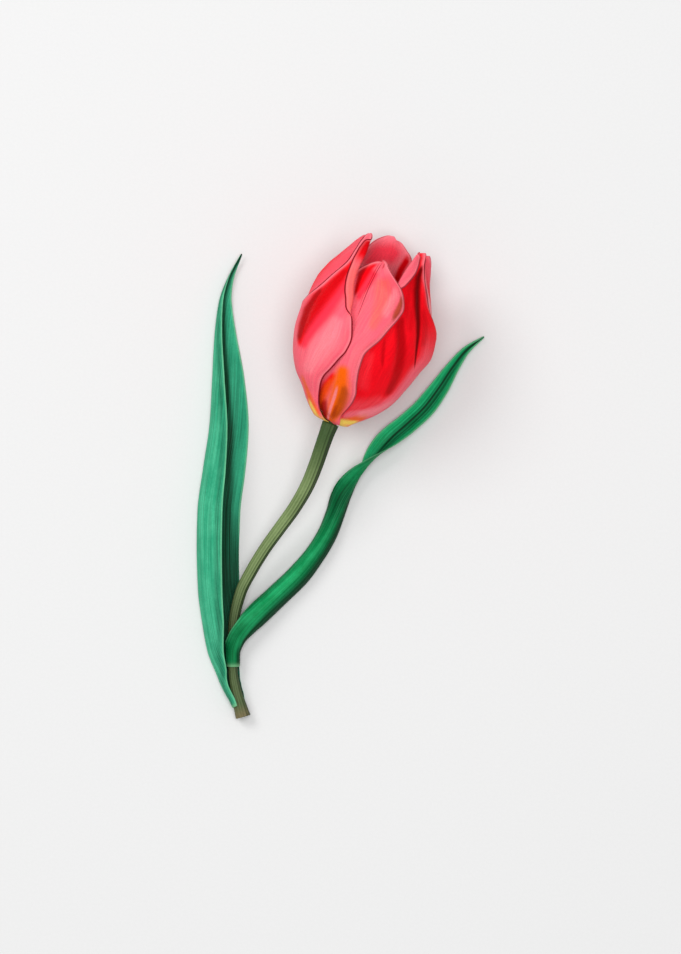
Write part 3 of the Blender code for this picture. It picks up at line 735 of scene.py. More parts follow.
def closed_sheet(name, points, thickness, face, back, look):
    """A closed thin sheet on a grid, with rounded margins. Face and back hold the values that its
    material reads, by name, for its two sides."""
    rows, columns = points.shape[:2]
    count = rows * columns
    half = grid_normals(points) * thickness[..., None] / 2
    index = np.arange(count).reshape(rows, columns)
    loop = np.concatenate([index[0, :], index[1:, -1], index[-1, -2::-1], index[-2:0:-1, 0]])
    margin = points.reshape(-1, 3)[loop]
    inner = points[np.clip(loop // columns, 1, rows - 2), np.clip(loop % columns, 1, columns - 2)]
    outward = unit(margin - inner + 1e-9)
    rim = margin + outward * thickness.reshape(-1)[loop][:, None] * RIM_ROUNDING
    vertices = np.concatenate([(points + half).reshape(-1, 3), (points - half).reshape(-1, 3), rim])
    corners = (index[:-1, :-1], index[:-1, 1:], index[1:, 1:], index[1:, :-1])
    top = np.stack([corner.ravel() for corner in corners], axis=1)
    edge = np.arange(len(loop)) + 2 * count
    after, edge_after = np.roll(loop, -1), np.roll(edge, -1)
    rim_top = np.stack([loop, edge, edge_after, after], axis=1)
    rim_bottom = np.stack([edge, loop + count, after + count, edge_after], axis=1)
    faces = np.concatenate([top, top[:, ::-1] + count, rim_top, rim_bottom])
    mesh = bpy.data.meshes.new(name)
    mesh.from_pydata((vertices * MM).tolist(), [], faces.tolist())
    mesh.shade_smooth()
    mesh.materials.append(look)
    values = {}
    for key in face:
        over, under = face[key].reshape(-1), back[key].reshape(-1)
        values[key] = np.concatenate([over, under, (over[loop] + under[loop]) / 2])
    add_values(mesh, values)
    return add_object(name, mesh)


def cup_radii(heights):
    """Left, front, right and back radius of the cup at each height."""
    return by_height(CUP, heights)


def blended(radii, azimuths):
    """Radius at each azimuth, for rows of left, front, right and back radii."""
    left, front, right, back = (radii[:, k : k + 1] for k in range(4))
    side = np.where(np.sin(azimuths) > 0, right, left)
    face = np.where(np.cos(azimuths) > 0, front, back)
    return side * np.sin(azimuths) ** 2 + face * np.cos(azimuths) ** 2


def petal_heights(outline):
    """Heights of a petal's rows, up the middle of its cup and closer together near its tip."""
    fine = np.linspace(outline[0][0], outline[-1][0], PROFILE_STEPS)
    _, left, right = outline[len(outline) // 2]
    middle = np.full((len(fine), 1), math.radians((left + right) / 2))
    length = along(np.stack([fine, blended(cup_radii(fine), middle)[:, 0]], axis=1))
    share = 1 - (1 - np.linspace(0, 1, PETAL_ROWS)) ** ROWS_TO_TIP
    return np.interp(share * length[-1], length, fine)


def rolled_share(widths):
    """How far the roll has opened, 0 where the margin is flat and 1 where it has a full strip."""
    return smoothstep(widths / ROLL_FULL_WIDTH)


def petal_points(name):
    """Heights and points of a petal, row by row from its base and from left to right."""
    heights = petal_heights(OUTLINES[name])
    margins = np.radians(by_height(OUTLINES[name], heights))
    if name in ROLLED_MARGINS:
        side, rolls = ROLLED_MARGINS[name]
        widths, radii = by_height(rolls, heights).T
        pulled = rolled_share(widths) * radii / cup_radii(heights)[:, 1]
        margins[:, max(side, 0)] -= side * pulled
    even = np.linspace(0, 1, PETAL_COLUMNS)
    t = 0.5 * even + 0.25 * (1 - np.cos(math.pi * even))
    azimuths = margins[:, :1] * (1 - t) + margins[:, 1:] * t
    left_lap, right_lap = LAPS[name]
    lap = left_lap + (right_lap - left_lap) * rising(t, LAP_RISE_FROM, 1 - LAP_RISE_FROM)
    lap_height = LAP_AT_BASE + (1 - LAP_AT_BASE) * smoothstep(heights / LAP_FULL_HEIGHT)
    offset = lap * LAP_MM * lap_height[:, None]
    steps = (0.0, SLOPE_STEP, -SLOPE_STEP)
    radii, above, below = (blended(cup_radii(heights + step), azimuths) for step in steps)
    slope = (above - below) / (2 * SLOPE_STEP)
    steep = np.hypot(1.0, slope)
    out = radii + offset / steep
    lift = heights[:, None] - slope / steep * offset
    direction = SIDE * np.sin(azimuths)[..., None] + FRONT * np.cos(azimuths)[..., None]
    return heights, FLOWER_BASE + AXIS * lift[..., None] + direction * out[..., None]


def roll_margin(points, heights, side, rolls):
    """Adds columns that roll a margin outwards and back over the petal. Returns the points and
    how far each lies round the roll."""
    widths, radii = by_height(rolls, heights).T
    normal = grid_normals(points)[:, ::side][:, -2]
    points = points[:, ::side]
    edge = points[:, -1]
    ahead = unit(np.gradient(edge, axis=0))
    outward = unit(square_to(edge - points[:, -3], ahead))
    normal = unit(square_to(square_to(normal, outward), ahead))
    opened = rolled_share(widths)
    turn = math.radians(ROLL_TURN_DEG) * opened
    length = radii * turn + widths + ROLL_STRIP
    added = []
    shares = []
    for share in np.linspace(0, 1, ROLL_COLUMNS + 1)[1:]:
        reach = length * share
        angle = np.minimum(reach / radii, turn)
        rest = np.maximum(reach - radii * turn, 0)
        out = radii * np.sin(angle) + rest * np.cos(turn)
        up = radii * (1 - np.cos(angle)) + rest * np.sin(turn)
        added.append(edge + outward * out[:, None] + normal * up[:, None])
        shares.append(opened * smoothstep(angle / math.pi * 2))
    rolled = np.concatenate([np.zeros(points.shape[:2]), np.stack(shares, axis=1)], axis=1)
    points = np.concatenate([points, np.stack(added, axis=1)], axis=1)
    return points[:, ::side], rolled[:, ::side]


def press_folds(name, points, rolled):
    """Presses the folds, the midrib and soft waves into a petal, and tucks in its margins."""
    ahead, aside = seen_place(points)
    left, right, near = margin_distance(points)
    below_tip = falling(ahead, ahead.max(), TIP_CALM)
    depth = np.zeros(points.shape[:2])
    for fold_depth, places in FOLDS.get(name, []):
        depth -= fold_depth * stroke(ahead, aside, places)
    if name not in FOLDS:
        depth -= bell((left - right) / 2, 0.0, MIDRIB_HALF_WIDTH, MIDRIB_DEPTH)
    phase = 2 * math.pi * ahead / WAVE_LENGTH + np.where(left < right, 0.0, RIGHT_WAVE_SHIFT)
    depth += WAVE_DEPTH * np.sin(phase) * bell(near, 0.0, WAVE_REACH) * rising(ahead, *WAVES_FROM)
    depth *= rising(ahead, *FOLDS_FROM) * rising(near, *FOLDS_AT_MARGIN) * below_tip
    tuck = np.zeros(points.shape[:2])
    for over, gap in zip(LAPS[name], (left, right)):
        if over > 0:
            tuck -= bell(gap, 0.0, TUCK_WIDTH, TUCK_DEPTH)
    tuck *= rising(ahead, *TUCK_FROM) * below_tip
    if name in TUCK_TO_ROLL:
        tuck *= falling(ahead, *TUCK_TO_ROLL[name])
    return points + grid_normals(points) * ((depth + tuck) * (1 - rolled))[..., None]


def lay(values, layer, mask):
    """Lays paint over what a layer has."""
    values[layer] = np.maximum(values[layer], mask)


def lay_strokes(values, strokes, ahead, aside, upward):
    """Lays strokes of paint where the face looks upward."""
    facing = rising(upward, *STEEP)
    for layer, strength, places in strokes:
        lay(values, layer, strength * facing * stroke(ahead, aside, places))


def outer_paint(name, points, rows, middle, near):
    """Layers of paint on a petal's outer face."""
    tip = rows[-1, 0]
    ground = GROUND.get(name, {})
    outer = {layer: np.full(points.shape[:2], ground.get(layer, 0.0)) for layer in PAINT_LAYERS}
    if name.startswith("petal_back"):
        heart = falling(np.abs(middle), *HEART_SIDES) * rising(rows, *HEART_FROM)
        heart = heart * falling(rows, tip + HEART_PAST_TIP, HEART_FADE)
        lay(outer, "rose", heart)
        lay(outer, "red", HEART_RED * heart**2)
        lay(outer, "deep", bell(middle, *HEART_LINE) * heart)
        lay(outer, "gold", bell(rows, *GOLD_BASE))
    lay_strokes(outer, PAINT.get(name, []), *seen_place(points), grid_normals(points)[..., 2])
    if name == "petal_right":
        lay(outer, "pink", rising(middle, *RIGHT_PETAL_PINK) * falling(rows, *RIGHT_PETAL_PINK_TO))
    # Pale strip towards the left margin: painted light
    if name == "petal_back_right":
        lay(outer, "pale", falling(middle, *BACK_RIGHT_PALE) * rising(rows, *BACK_RIGHT_PALE_FROM))
    lay(outer, "pink", bell(near, *PINK_MARGIN) * rising(rows, *PINK_FROM))
    if name != "petal_front":
        lay(outer, "yellow", falling(rows, *YELLOW_BASE))
    return outer


def inner_paint(name, points, rows, middle, rolled):
    """Layers of paint on a petal's inner face."""
    inner = {layer: np.zeros(points.shape[:2]) for layer in PAINT_LAYERS}
    top = BLOTCH_TOP - BLOTCH_DROP * np.abs(middle) + BLOTCH_WAVE * np.cos(BLOTCH_WAVES * middle)
    inner["black"] = falling(rows, top, BLOTCH_EDGE) * rising(rows, *BLOTCH_FROM)
    inner["yellow"] = np.maximum(falling(rows, *INNER_YELLOW), bell(rows - top, *BLOTCH_BORDER))
    inner["rose"] = bell(middle, *INNER_ROSE) * rising(rows, *INNER_ROSE_FROM)
    inner["rose"] *= falling(rows, *INNER_ROSE_TO)
    strokes = INNER_PAINT.get(name, [])
    lay_strokes(inner, strokes, *seen_place(points), -grid_normals(points)[..., 2])
    # Paler towards the tip of the inner face: painted light on the inside of the cup
    pale = rising(rows, *INNER_PALE_FROM) * (1 - rolled)
    inner["pale"] = pale * (1 - inner["rose"]) * (1 - inner["red"])
    if name == "petal_left":
        inner["red"] = rolled * rising(rows, *FLAP_RED_FROM)
        # Deep towards the flap's tip: painted shade inside the hooded tip
        inner["deep"] = rolled * rising(rows, *FLAP_DEEP_FROM)
        inner["gold"] = rolled * falling(rows, *FLAP_GOLD_TO)
    return inner


def petal_values(name, points, rolled, heights):
    """Values that the petal's material reads, for its outer and its inner face."""
    left, right, near = margin_distance(points)
    middle = (left - right) / np.maximum(left + right, 1.0)
    rows = np.repeat(heights[:, None], points.shape[1], axis=1)
    outer = outer_paint(name, points, rows, middle, near)
    inner = inner_paint(name, points, rows, middle, rolled)
    line = MARGIN_LINES[name] * rising(rows, *LINE_FROM)
    line = line * (1 - rising(rows, heights[-1] - LINE_TIP, LINE_TIP, LINE_TIP_PALING))
    for values in (outer, inner):
        values["margin"] = near
        values["line"] = line
        values["rim"] = rising(rows, *PINK_FROM) * (1 - RIM_LOSS_ON_ROLL * rolled)
        values["across"] = FIBRE_SPREAD * middle
        values["along"] = rows
        for crease in CREASE_NAMES:
            values[crease] = np.full(rows.shape, FAR_FROM_CREASE)
            values[f"{crease}_reach"] = np.zeros(rows.shape)
    for crease, places in CREASES.get(name, {}).items():
        outer[crease], outer[f"{crease}_reach"] = crease_gap(*seen_place(points), places)
    outer["inner"] = np.zeros(rows.shape)
    inner["inner"] = np.ones(rows.shape)
    return outer, inner


def make_petal(name, look):
    heights, points = petal_points(name)
    rolled = np.zeros(points.shape[:2])
    if name in ROLLED_MARGINS:
        points, rolled = roll_margin(points, heights, *ROLLED_MARGINS[name])
    near = margin_distance(points)[2]
    points = press_folds(name, points, rolled)
    outer, inner = petal_values(name, points, rolled, heights)
    inward = np.minimum(near, (heights[-1] - heights)[:, None] + PETAL_PAST_TIP)
    thickness = sheet_thickness(inward, *PETAL_SHEET)
    piece = closed_sheet(f"{name}_skin", points, thickness, outer, inner, look)
    stand_in(piece, "petal", name)


def lobe(width, start, end):
    """Offsets of a lobe's points from the keel: outwards, and up into the trough."""
    steps = np.linspace(0, 1, LOBE_COLUMNS + 1)
    angles = np.radians(start + (end - start) * (steps[1:] + steps[:-1]) / 2)
    step = width / LOBE_COLUMNS
    return np.cumsum(np.cos(angles)) * step, np.cumsum(np.sin(angles)) * step


def leaf_points(table, rows):
    """Points of a leaf, row by row from its base and from its left margin to its right."""
    table = np.array(table, float)
    length = along(table[:, :3])
    wanted = np.linspace(0, length[-1], rows)
    keel = smooth_rows(length, table[:, :3], wanted)
    forms = smooth_rows(length, table[:, 3:], wanted)
    tangents = unit(np.gradient(keel, axis=0))
    grid = np.zeros((rows, 2 * LOBE_COLUMNS + 1, 3))
    grid[:, LOBE_COLUMNS] = keel
    columns = np.arange(1, LOBE_COLUMNS + 1)
    for i, (left_width, right_width, roll, *bends) in enumerate(forms):
        sideways = unit(np.cross(tangents[i], [0.0, 0.0, 1.0]))
        up = np.cross(sideways, tangents[i])
        turn = math.radians(roll)
        across = sideways * math.cos(turn) + up * math.sin(turn)
        open_way = up * math.cos(turn) - sideways * math.sin(turn)
        for side, width, bend in ((LEFT, left_width, bends[:2]), (RIGHT, right_width, bends[2:])):
            out, lift = (offset[:, None] for offset in lobe(width, *bend))
            grid[i, LOBE_COLUMNS + side * columns] = keel[i] + side * across * out + open_way * lift
    for _ in range(KEEL_ROUNDING_PASSES):
        grid[:, 1:-1] = (grid[:, :-2] + 2 * grid[:, 1:-1] + grid[:, 2:]) / 4
    return wanted, grid


def lower_leaf_shade(points, left, right):
    """Painted shade on the lower leaf's inner and outer face: deep in its trough, where the near
    lobe's margin stands over it, and in bands beside that margin, broken up along the veins."""
    ahead = points[..., 1]
    beyond = points[..., 0] - points[:, :1, 0]
    inner = falling(beyond / np.interp(ahead, *zip(*TROUGH_REACH)), *TROUGH_FADE)
    second = falling(ahead, *LOWER_SECOND_TO_Y) * bell(left, *LOWER_SECOND_BAND)
    return inner, bell(left, *LOWER_BAND) + second


def upper_leaf_shade(points, left, right):
    """How dark the upper leaf is on its inner and outer face: on the outer face along both
    margins, at its foot and where it twists over, on the inner face beside the midrib."""
    ahead = points[..., 1]
    share = left / np.maximum(left + right, 0.1)
    bands = falling(share, *UPPER_LEFT_BAND) + rising(share, *UPPER_RIGHT_BAND)
    foot = falling(ahead, *UPPER_FOOT_TO_Y)
    outer = np.maximum(np.maximum(bands, foot), bell(ahead, *UPPER_TWIST_Y))
    return sum(bell(share, *band) for band in UPPER_INNER_BANDS), outer


LEAF_SHADES = {"lower_leaf": lower_leaf_shade, "upper_leaf": upper_leaf_shade}


def make_leaf(name, look):
    wanted, points = leaf_points(LEAVES[name], LEAF_ROWS[name])
    left, right, near = margin_distance(points)
    across = left - left[:, LOBE_COLUMNS : LOBE_COLUMNS + 1]
    rows = np.repeat(wanted[:, None], points.shape[1], axis=1)
    to_end = np.minimum(rows, (wanted[-1] - wanted)[:, None])
    ribs = np.cos(2 * math.pi * across / RIB_SPACING) * rising(near, *RIBS_FROM_MARGIN)
    ribs = ribs * rising(to_end, *RIBS_FROM_END)
    points = points + grid_normals(points) * (RIB_DEPTH * ribs)[..., None]
    thickness = sheet_thickness(np.minimum(near, to_end + LEAF_PAST_TIP), *LEAF_SHEET)
    shared = {"across": across, "along": rows, "margin": near, "collar": bell(rows, *COLLAR)}
    inner_shade, outer_shade = LEAF_SHADES[name](points, left, right)
    midrib = rising(points[..., 1], *MIDRIB_FROM_Y[name])
    face = {**shared, "inner": np.ones(rows.shape), "shade": inner_shade, "midrib": midrib}
    blank = np.zeros(rows.shape)
    back = {**shared, "inner": blank, "shade": outer_shade, "midrib": blank}
    piece = closed_sheet(f"{name}_skin", points, thickness, face, back, look)
    stand_in(piece, "leaf", name)


class Nodes:
    """A tree of nodes under construction: short calls that add and join them."""

    def __init__(self, tree):
        self.tree = tree

    def join(self, source, socket):
        if hasattr(source, "is_output"):
            self.tree.links.new(source, socket)
        elif isinstance(source, tuple) and socket.type == "RGBA":
            socket.default_value = (*source, 1.0)
        else:
            socket.default_value = source

    def node(self, kind, wires=None, **settings):
        made = self.tree.nodes.new(kind)
        for key, value in settings.items():
            setattr(made, key, value)
        for key, value in (wires or {}).items():
            self.join(value, made.inputs[key])
        return made

    def sum(self, operation, *values):
        return self.node("ShaderNodeMath", dict(enumerate(values)), operation=operation).outputs[0]


class Recipe(Nodes):
    """A material under construction."""

    def __init__(self, name, roughness, specular):
        self.look = bpy.data.materials.new(name)
        self.look.use_nodes = True
        super().__init__(self.look.node_tree)
        self.shader = self.tree.nodes["Principled BSDF"]
        self.shader.inputs["Specular IOR Level"].default_value = specular
        self.shader.inputs["Roughness"].default_value = roughness

    def value(self, name):
        return self.node("ShaderNodeAttribute", attribute_name=name).outputs["Fac"]

    def object_place(self):
        return self.node("ShaderNodeTexCoord").outputs["Object"]

    def stretched(self, across, ahead):
        """Coordinates on the sheet: across it and along it, each with its own fineness per mm."""
        places = (
            self.sum("MULTIPLY", self.value("across"), across),
            self.sum("MULTIPLY", self.value("along"), ahead),
            self.value("inner"),
        )
        return self.node("ShaderNodeCombineXYZ", dict(enumerate(places))).outputs[0]

    def noise(self, place, scale, detail=2.0, roughness=0.5):
        wires = {"Vector": place, "Scale": scale, "Detail": detail, "Roughness": roughness}
        return self.node("ShaderNodeTexNoise", wires).outputs["Fac"]

    def ranged(self, value, low, high, to_low=0.0, to_high=1.0):
        wires = {"Value": value, "From Min": low, "From Max": high}
        wires.update({"To Min": to_low, "To Max": to_high})
        node = self.node("ShaderNodeMapRange", wires, interpolation_type="SMOOTHSTEP")
        return node.outputs["Result"]

    def mix(self, factor, first, second, blend="MIX"):
        wires = {0: factor, 6: first, 7: second}
        return self.node("ShaderNodeMix", wires, data_type="RGBA", blend_type=blend).outputs[2]

    def shaded(self, colour, value, low, high, dark, light):
        """The colour, darkened and lightened as the value goes from low to high."""
        return self.mix(1.0, colour, self.ranged(value, low, high, dark, light), "MULTIPLY")

    def blended(self, first, share, second):
        return self.sum("MULTIPLY_ADD", first, share, self.sum("MULTIPLY", second, 1 - share))

    def finish(self, colour, height, strength, distance, roughness=None):
        """Joins the colour, the bump, its distance in metres, and the roughness to the shader."""
        wires = {"Height": height, "Strength": strength, "Distance": distance}
        bump = self.node("ShaderNodeBump", wires)
        self.join(colour, self.shader.inputs["Base Color"])
        self.join(bump.outputs["Normal"], self.shader.inputs["Normal"])
        if roughness is not None:
            self.join(roughness, self.shader.inputs["Roughness"])
        return self.look


def petal_look():
    """Silky petal: pink with red flames, orange and yellow at the base, fine fibres along it,
    painted shade in folds and creases and painted highlights along its margins.
    """
    r = Recipe("silky_petal", roughness=0.55, specular=0.03)
    fibres = r.noise(r.stretched(across=2.6, ahead=0.10), 1.0, detail=3.0, roughness=0.6)
    flames = r.noise(r.stretched(across=0.42, ahead=0.055), 1.0)
    grain = r.noise(r.object_place(), 1500.0, roughness=0.7)
    wander = r.sum("MULTIPLY_ADD", r.sum("SUBTRACT", flames, 0.5), 0.50, 0.0)
    wander = r.sum("MULTIPLY_ADD", r.sum("SUBTRACT", fibres, 0.5), 0.35, wander)
    pink = r.mix(r.ranged(flames, 0.35, 0.70), PINK, WARM_PINK)
    darkest = r.mix(r.value("inner"), BLACK_RED, OLIVE_BLACK)
    paints = {**LAYER_COLOURS, "pink": pink, "black": darkest}

    def covered(colour, name):
        """The colour with a layer over it, whose soft edges wander with the flames and fibres."""
        mask = r.value(name)
        loose = r.sum("MULTIPLY", r.sum("SUBTRACT", 1.0, mask), wander)
        mask = r.sum("MULTIPLY_ADD", r.sum("MULTIPLY", loose, mask), 3.0, mask)
        return r.mix(mask, colour, paints[name])

    colour = pink
    for name in PAINT_LAYERS[:-1]:
        colour = covered(colour, name)
    margin = r.value("margin")
    # Pale rim along the margin: a painted highlight
    rim = r.sum("MULTIPLY", r.ranged(margin, 0.6, 2.0, 0.5, 0.0), r.value("rim"))
    colour = r.mix(rim, colour, PALE_PINK)
    # Dark lines along the creases: painted shade
    for name, low, high, strength, ink in DRAWN_LINES:
        gap = r.sum("ABSOLUTE", r.value(name), 0.0)
        drawn = r.sum("MULTIPLY", r.ranged(gap, low, high, strength, 0.0), r.value(f"{name}_reach"))
        colour = r.mix(drawn, colour, ink)
    # Dark line at the margin: a painted shadow
    line = r.sum("MULTIPLY", r.ranged(margin, 0.25, 0.75, 1.0, 0.0), r.value("line"))
    colour = covered(r.mix(line, colour, MARGIN_RED), PAINT_LAYERS[-1])
    colour = r.shaded(colour, grain, 0.25, 0.75, 0.93, 1.06)
    colour = r.shaded(colour, fibres, 0.30, 0.72, 0.86, 1.06)
    roughness = r.ranged(fibres, 0.3, 0.7, 0.38, 0.55)
    return r.finish(colour, r.blended(fibres, 0.8, grain), 0.35, 0.00025, roughness)


def leaf_look(name, inner_colours, outer_colours):
    """Waxy leaf with fine veins along it, painted shade, and a pale rim that is a painted
    highlight.
    """
    r = Recipe(name, roughness=0.55, specular=0.06)
    veins = r.noise(r.stretched(across=3.2, ahead=0.02), 1.0, detail=3.0, roughness=0.65)
    bands = r.noise(r.stretched(across=0.45, ahead=0.02), 1.0)
    bloom = r.noise(r.object_place(), 90.0, detail=4.0, roughness=0.6)
    grain = r.noise(r.object_place(), 1400.0, roughness=0.7)
    tone = r.ranged(r.blended(bands, 0.5, bloom), 0.38, 0.62)
    colour = r.mix(r.value("inner"), r.mix(tone, *outer_colours), r.mix(tone, *inner_colours))
    colour = r.shaded(colour, veins, 0.35, 0.65, 0.66, 1.12)
    shade = r.sum("MULTIPLY", r.value("shade"), r.ranged(veins, 0.30, 0.70, 1.15, 0.75))
    colour = r.mix(r.sum("MINIMUM", shade, 0.96), colour, SHADE_GREEN)
    # Dark line along the midrib: painted shade in the fold
    midrib = r.ranged(r.sum("ABSOLUTE", r.value("across"), 0.0), 0.25, 0.80, 0.95, 0.0)
    colour = r.mix(r.sum("MULTIPLY", midrib, r.value("midrib")), colour, SHADE_GREEN)
    # Pale rim along the margin, a painted highlight, kept off the painted shade
    rim = r.ranged(r.value("margin"), 0.25, 0.75, 0.50, 0.0)
    rim = r.sum("MULTIPLY", rim, r.ranged(shade, 0.1, 0.6, 1.0, 0.0))
    colour = r.mix(rim, colour, RIM_GREEN)
    colour = r.mix(r.sum("MULTIPLY", r.value("collar"), 0.7), colour, COLLAR_GREEN)
    colour = r.shaded(colour, grain, 0.25, 0.75, 0.92, 1.07)
    roughness = r.ranged(bloom, 0.3, 0.7, 0.42, 0.58)
    return r.finish(colour, r.blended(veins, 0.85, grain), 0.45, 0.0003, roughness)


def stem_look():
    """Grey-olive stem, paler on its ribs, browner at the cut, with painted shade on its lower part
    and its lower right side.
    """
    r = Recipe("ribbed_stem", roughness=0.5, specular=0.15)
    cloud = r.noise(r.object_place(), 70.0, detail=3.0)
    grain = r.noise(r.object_place(), 1300.0, roughness=0.7)
    ahead = r.value("ahead")
    colour = r.mix(r.ranged(cloud, 0.35, 0.65), *STEM_GREENS)
    colour = r.mix(r.ranged(r.value("ridge"), -1.0, 1.0, 0.0, 0.50), colour, STEM_RIDGE)
    colour = r.mix(r.ranged(ahead, 0.72, 0.95), colour, STEM_NECK)
    # Painted shade on its lower part
    colour = r.mix(r.ranged(ahead, 0.48, 0.30, 0.0, 0.62), colour, STEM_SHADE)
    colour = r.mix(r.ranged(ahead, 0.05, 0.0), colour, STEM_FOOT)
    colour = r.mix(r.value("cut"), colour, STEM_CUT)
    colour = r.shaded(colour, grain, 0.25, 0.75, 0.90, 1.08)
    # Painted shade on the side that faces lower right
    normal = r.node("ShaderNodeNewGeometry").outputs["Normal"]
    wires = {0: normal, 1: STEM_SHADED_SIDE}
    facing = r.node("ShaderNodeVectorMath", wires, operation="DOT_PRODUCT").outputs["Value"]
    colour = r.mix(r.ranged(facing, 0.25, 0.78, 0.0, 0.92), colour, STEM_SHADE)
    return r.finish(colour, r.blended(grain, 0.5, cloud), 0.3, 0.0002)


def plain_look(name, colours, fineness, roughness, depth):
    """A matt surface whose two colours mingle in fine grains."""
    r = Recipe(name, roughness, specular=0.25)
    grain = r.noise(r.object_place(), fineness, detail=3.0, roughness=0.7)
    cloud = r.noise(r.object_place(), fineness / 8)
    colour = r.mix(r.ranged(cloud, 0.35, 0.65), *colours)
    colour = r.shaded(colour, grain, 0.25, 0.75, 0.85, 1.15)
    return r.finish(colour, grain, 0.5, depth)


def floor_look():
    """Pale matt board with a barely visible grain."""
    r = Recipe("pale_board", roughness=0.95, specular=0.05)
    grain = r.noise(r.object_place(), 900.0, roughness=0.6)
    return r.finish(r.mix(r.ranged(grain, 0.3, 0.7), *BOARD), grain, 0.05, 0.00002)


class Tree(Nodes):
    """A Geometry Nodes tree under construction, with named inputs."""

    def __init__(self, name, inputs):
        super().__init__(bpy.data.node_groups.new(name, "GeometryNodeTree"))
        face = self.tree.interface
        face.new_socket("Geometry", in_out="INPUT", socket_type="NodeSocketGeometry")
        face.new_socket("Geometry", in_out="OUTPUT", socket_type="NodeSocketGeometry")
        self.settings = {}
        for label, (kind, value) in inputs.items():
            socket = face.new_socket(label, in_out="INPUT", socket_type=f"NodeSocket{kind}")
            self.settings[socket.identifier] = value
        self.given = self.node("NodeGroupInput").outputs
        self.end = self.node("NodeGroupOutput")

    def mesh_from(self, name, geometry, source):
        """Ends the tree at the geometry, runs it on the source and returns a plain object."""
        made = self.node("GeometryNodeRealizeInstances", {0: geometry}).outputs[0]
        wires = {"Geometry": made, "Material": self.given["Material"]}
        self.join(self.node("GeometryNodeSetMaterial", wires).outputs[0], self.end.inputs[0])
        piece = add_object(name, source)
        modifier = piece.modifiers.new("growth", "NODES")
        modifier.node_group = self.tree
        for identifier, value in self.settings.items():
            modifier[identifier] = value
        graph = bpy.context.evaluated_depsgraph_get()
        mesh = bpy.data.meshes.new_from_object(piece.evaluated_get(graph))
        piece.modifiers.remove(modifier)
        piece.data = mesh
        mesh.name = name
        mesh.shade_smooth()
        return piece


def lobed_sweep(name, look, inputs):
    """A tree that sweeps a ring with lobes along the given line, as thick as the line says."""
    tree = Tree(name, {**inputs, "Material": ("Material", look)})
    wires = {"Resolution": tree.given["Sides"], "Radius": 1.0}
    circle = tree.node("GeometryNodeCurvePrimitiveCircle", wires).outputs["Curve"]
    place = tree.node("GeometryNodeInputPosition").outputs[0]
    x, y, _ = tree.node("ShaderNodeSeparateXYZ", {0: place}).outputs
    wave = tree.sum("COSINE", tree.sum("MULTIPLY", tree.sum("ARCTAN2", y, x), tree.given["Lobes"]))
    wires = {"Geometry": circle, "Name": "ridge", "Value": wave}
    ring = tree.node("GeometryNodeStoreNamedAttribute", wires, data_type="FLOAT").outputs[0]
    swell = tree.sum("MULTIPLY_ADD", wave, tree.given["Lobe Share"], 1.0)
    scaled = tree.node("ShaderNodeVectorMath", {0: place, 3: swell}, operation="SCALE").outputs[0]
    ring = tree.node("GeometryNodeSetPosition", {"Geometry": ring, "Position": scaled}).outputs[0]
    line = tree.node("GeometryNodeMeshToCurve", {"Mesh": tree.given["Geometry"]}).outputs[0]
    thick = tree.node("GeometryNodeInputNamedAttribute", {"Name": "thick"}, data_type="FLOAT")
    wires = {"Curve": line, "Profile Curve": ring, "Scale": thick.outputs[0], "Fill Caps": True}
    return tree, tree.node("GeometryNodeCurveToMesh", wires).outputs[0]


def centre_line(name, points, radii, **values):
    """A row of joined points with a radius and more values at each, as a mesh in metres."""
    mesh = bpy.data.meshes.new(name)
    edges = [(k, k + 1) for k in range(len(points) - 1)]
    mesh.from_pydata((points * MM).tolist(), edges, [])
    add_values(mesh, {"thick": radii * MM, **values})
    return mesh


def stem_rows():
    """Points and radii of the stem's centre line, from the rings of its cut end up."""
    head = np.array(STEM_HEAD)
    table = np.array([*STEM, (*(FLOWER_BASE + AXIS * head[0, 0]), head[0, 1])])
    length = along(table[:, :3])
    curve = smooth_rows(length, table, np.linspace(0, length[-1], STEM_STEPS))
    end, radius = curve[0, :3], curve[0, 3]
    back = unit(end - curve[1, :3])
    cut = [(*(end - back * inset), radius * share) for inset, share, _ in CUT_EDGE]
    lifts = np.concatenate([np.linspace(*NECK_RINGS), HEAD_RINGS])
    radii = np.interp(lifts, *head.T)
    radii[-2:] = STEM_TOP_RADII
    top = np.column_stack([FLOWER_BASE + AXIS * lifts[:, None], radii])
    curve = np.concatenate([cut, curve[2:], top])
    return curve[:, :3], curve[:, 3]


def make_stem(look):
    points, radii = stem_rows()
    length = along(points)
    cut = np.zeros(len(points))
    cut[: len(CUT_EDGE)] = [shown for _, _, shown in CUT_EDGE]
    tree, swept = lobed_sweep("ribbed_stem", look, {
        "Sides": ("Int", STEM_SIDES),
        "Lobes": ("Float", STEM_RIBS),
        "Lobe Share": ("Float", STEM_RIB_SHARE),
    })
    source = centre_line("stem_line", points, radii, ahead=length / length[-1], cut=cut)
    stand_in(tree.mesh_from("stem_skin", swept, source), "stem", "stem")


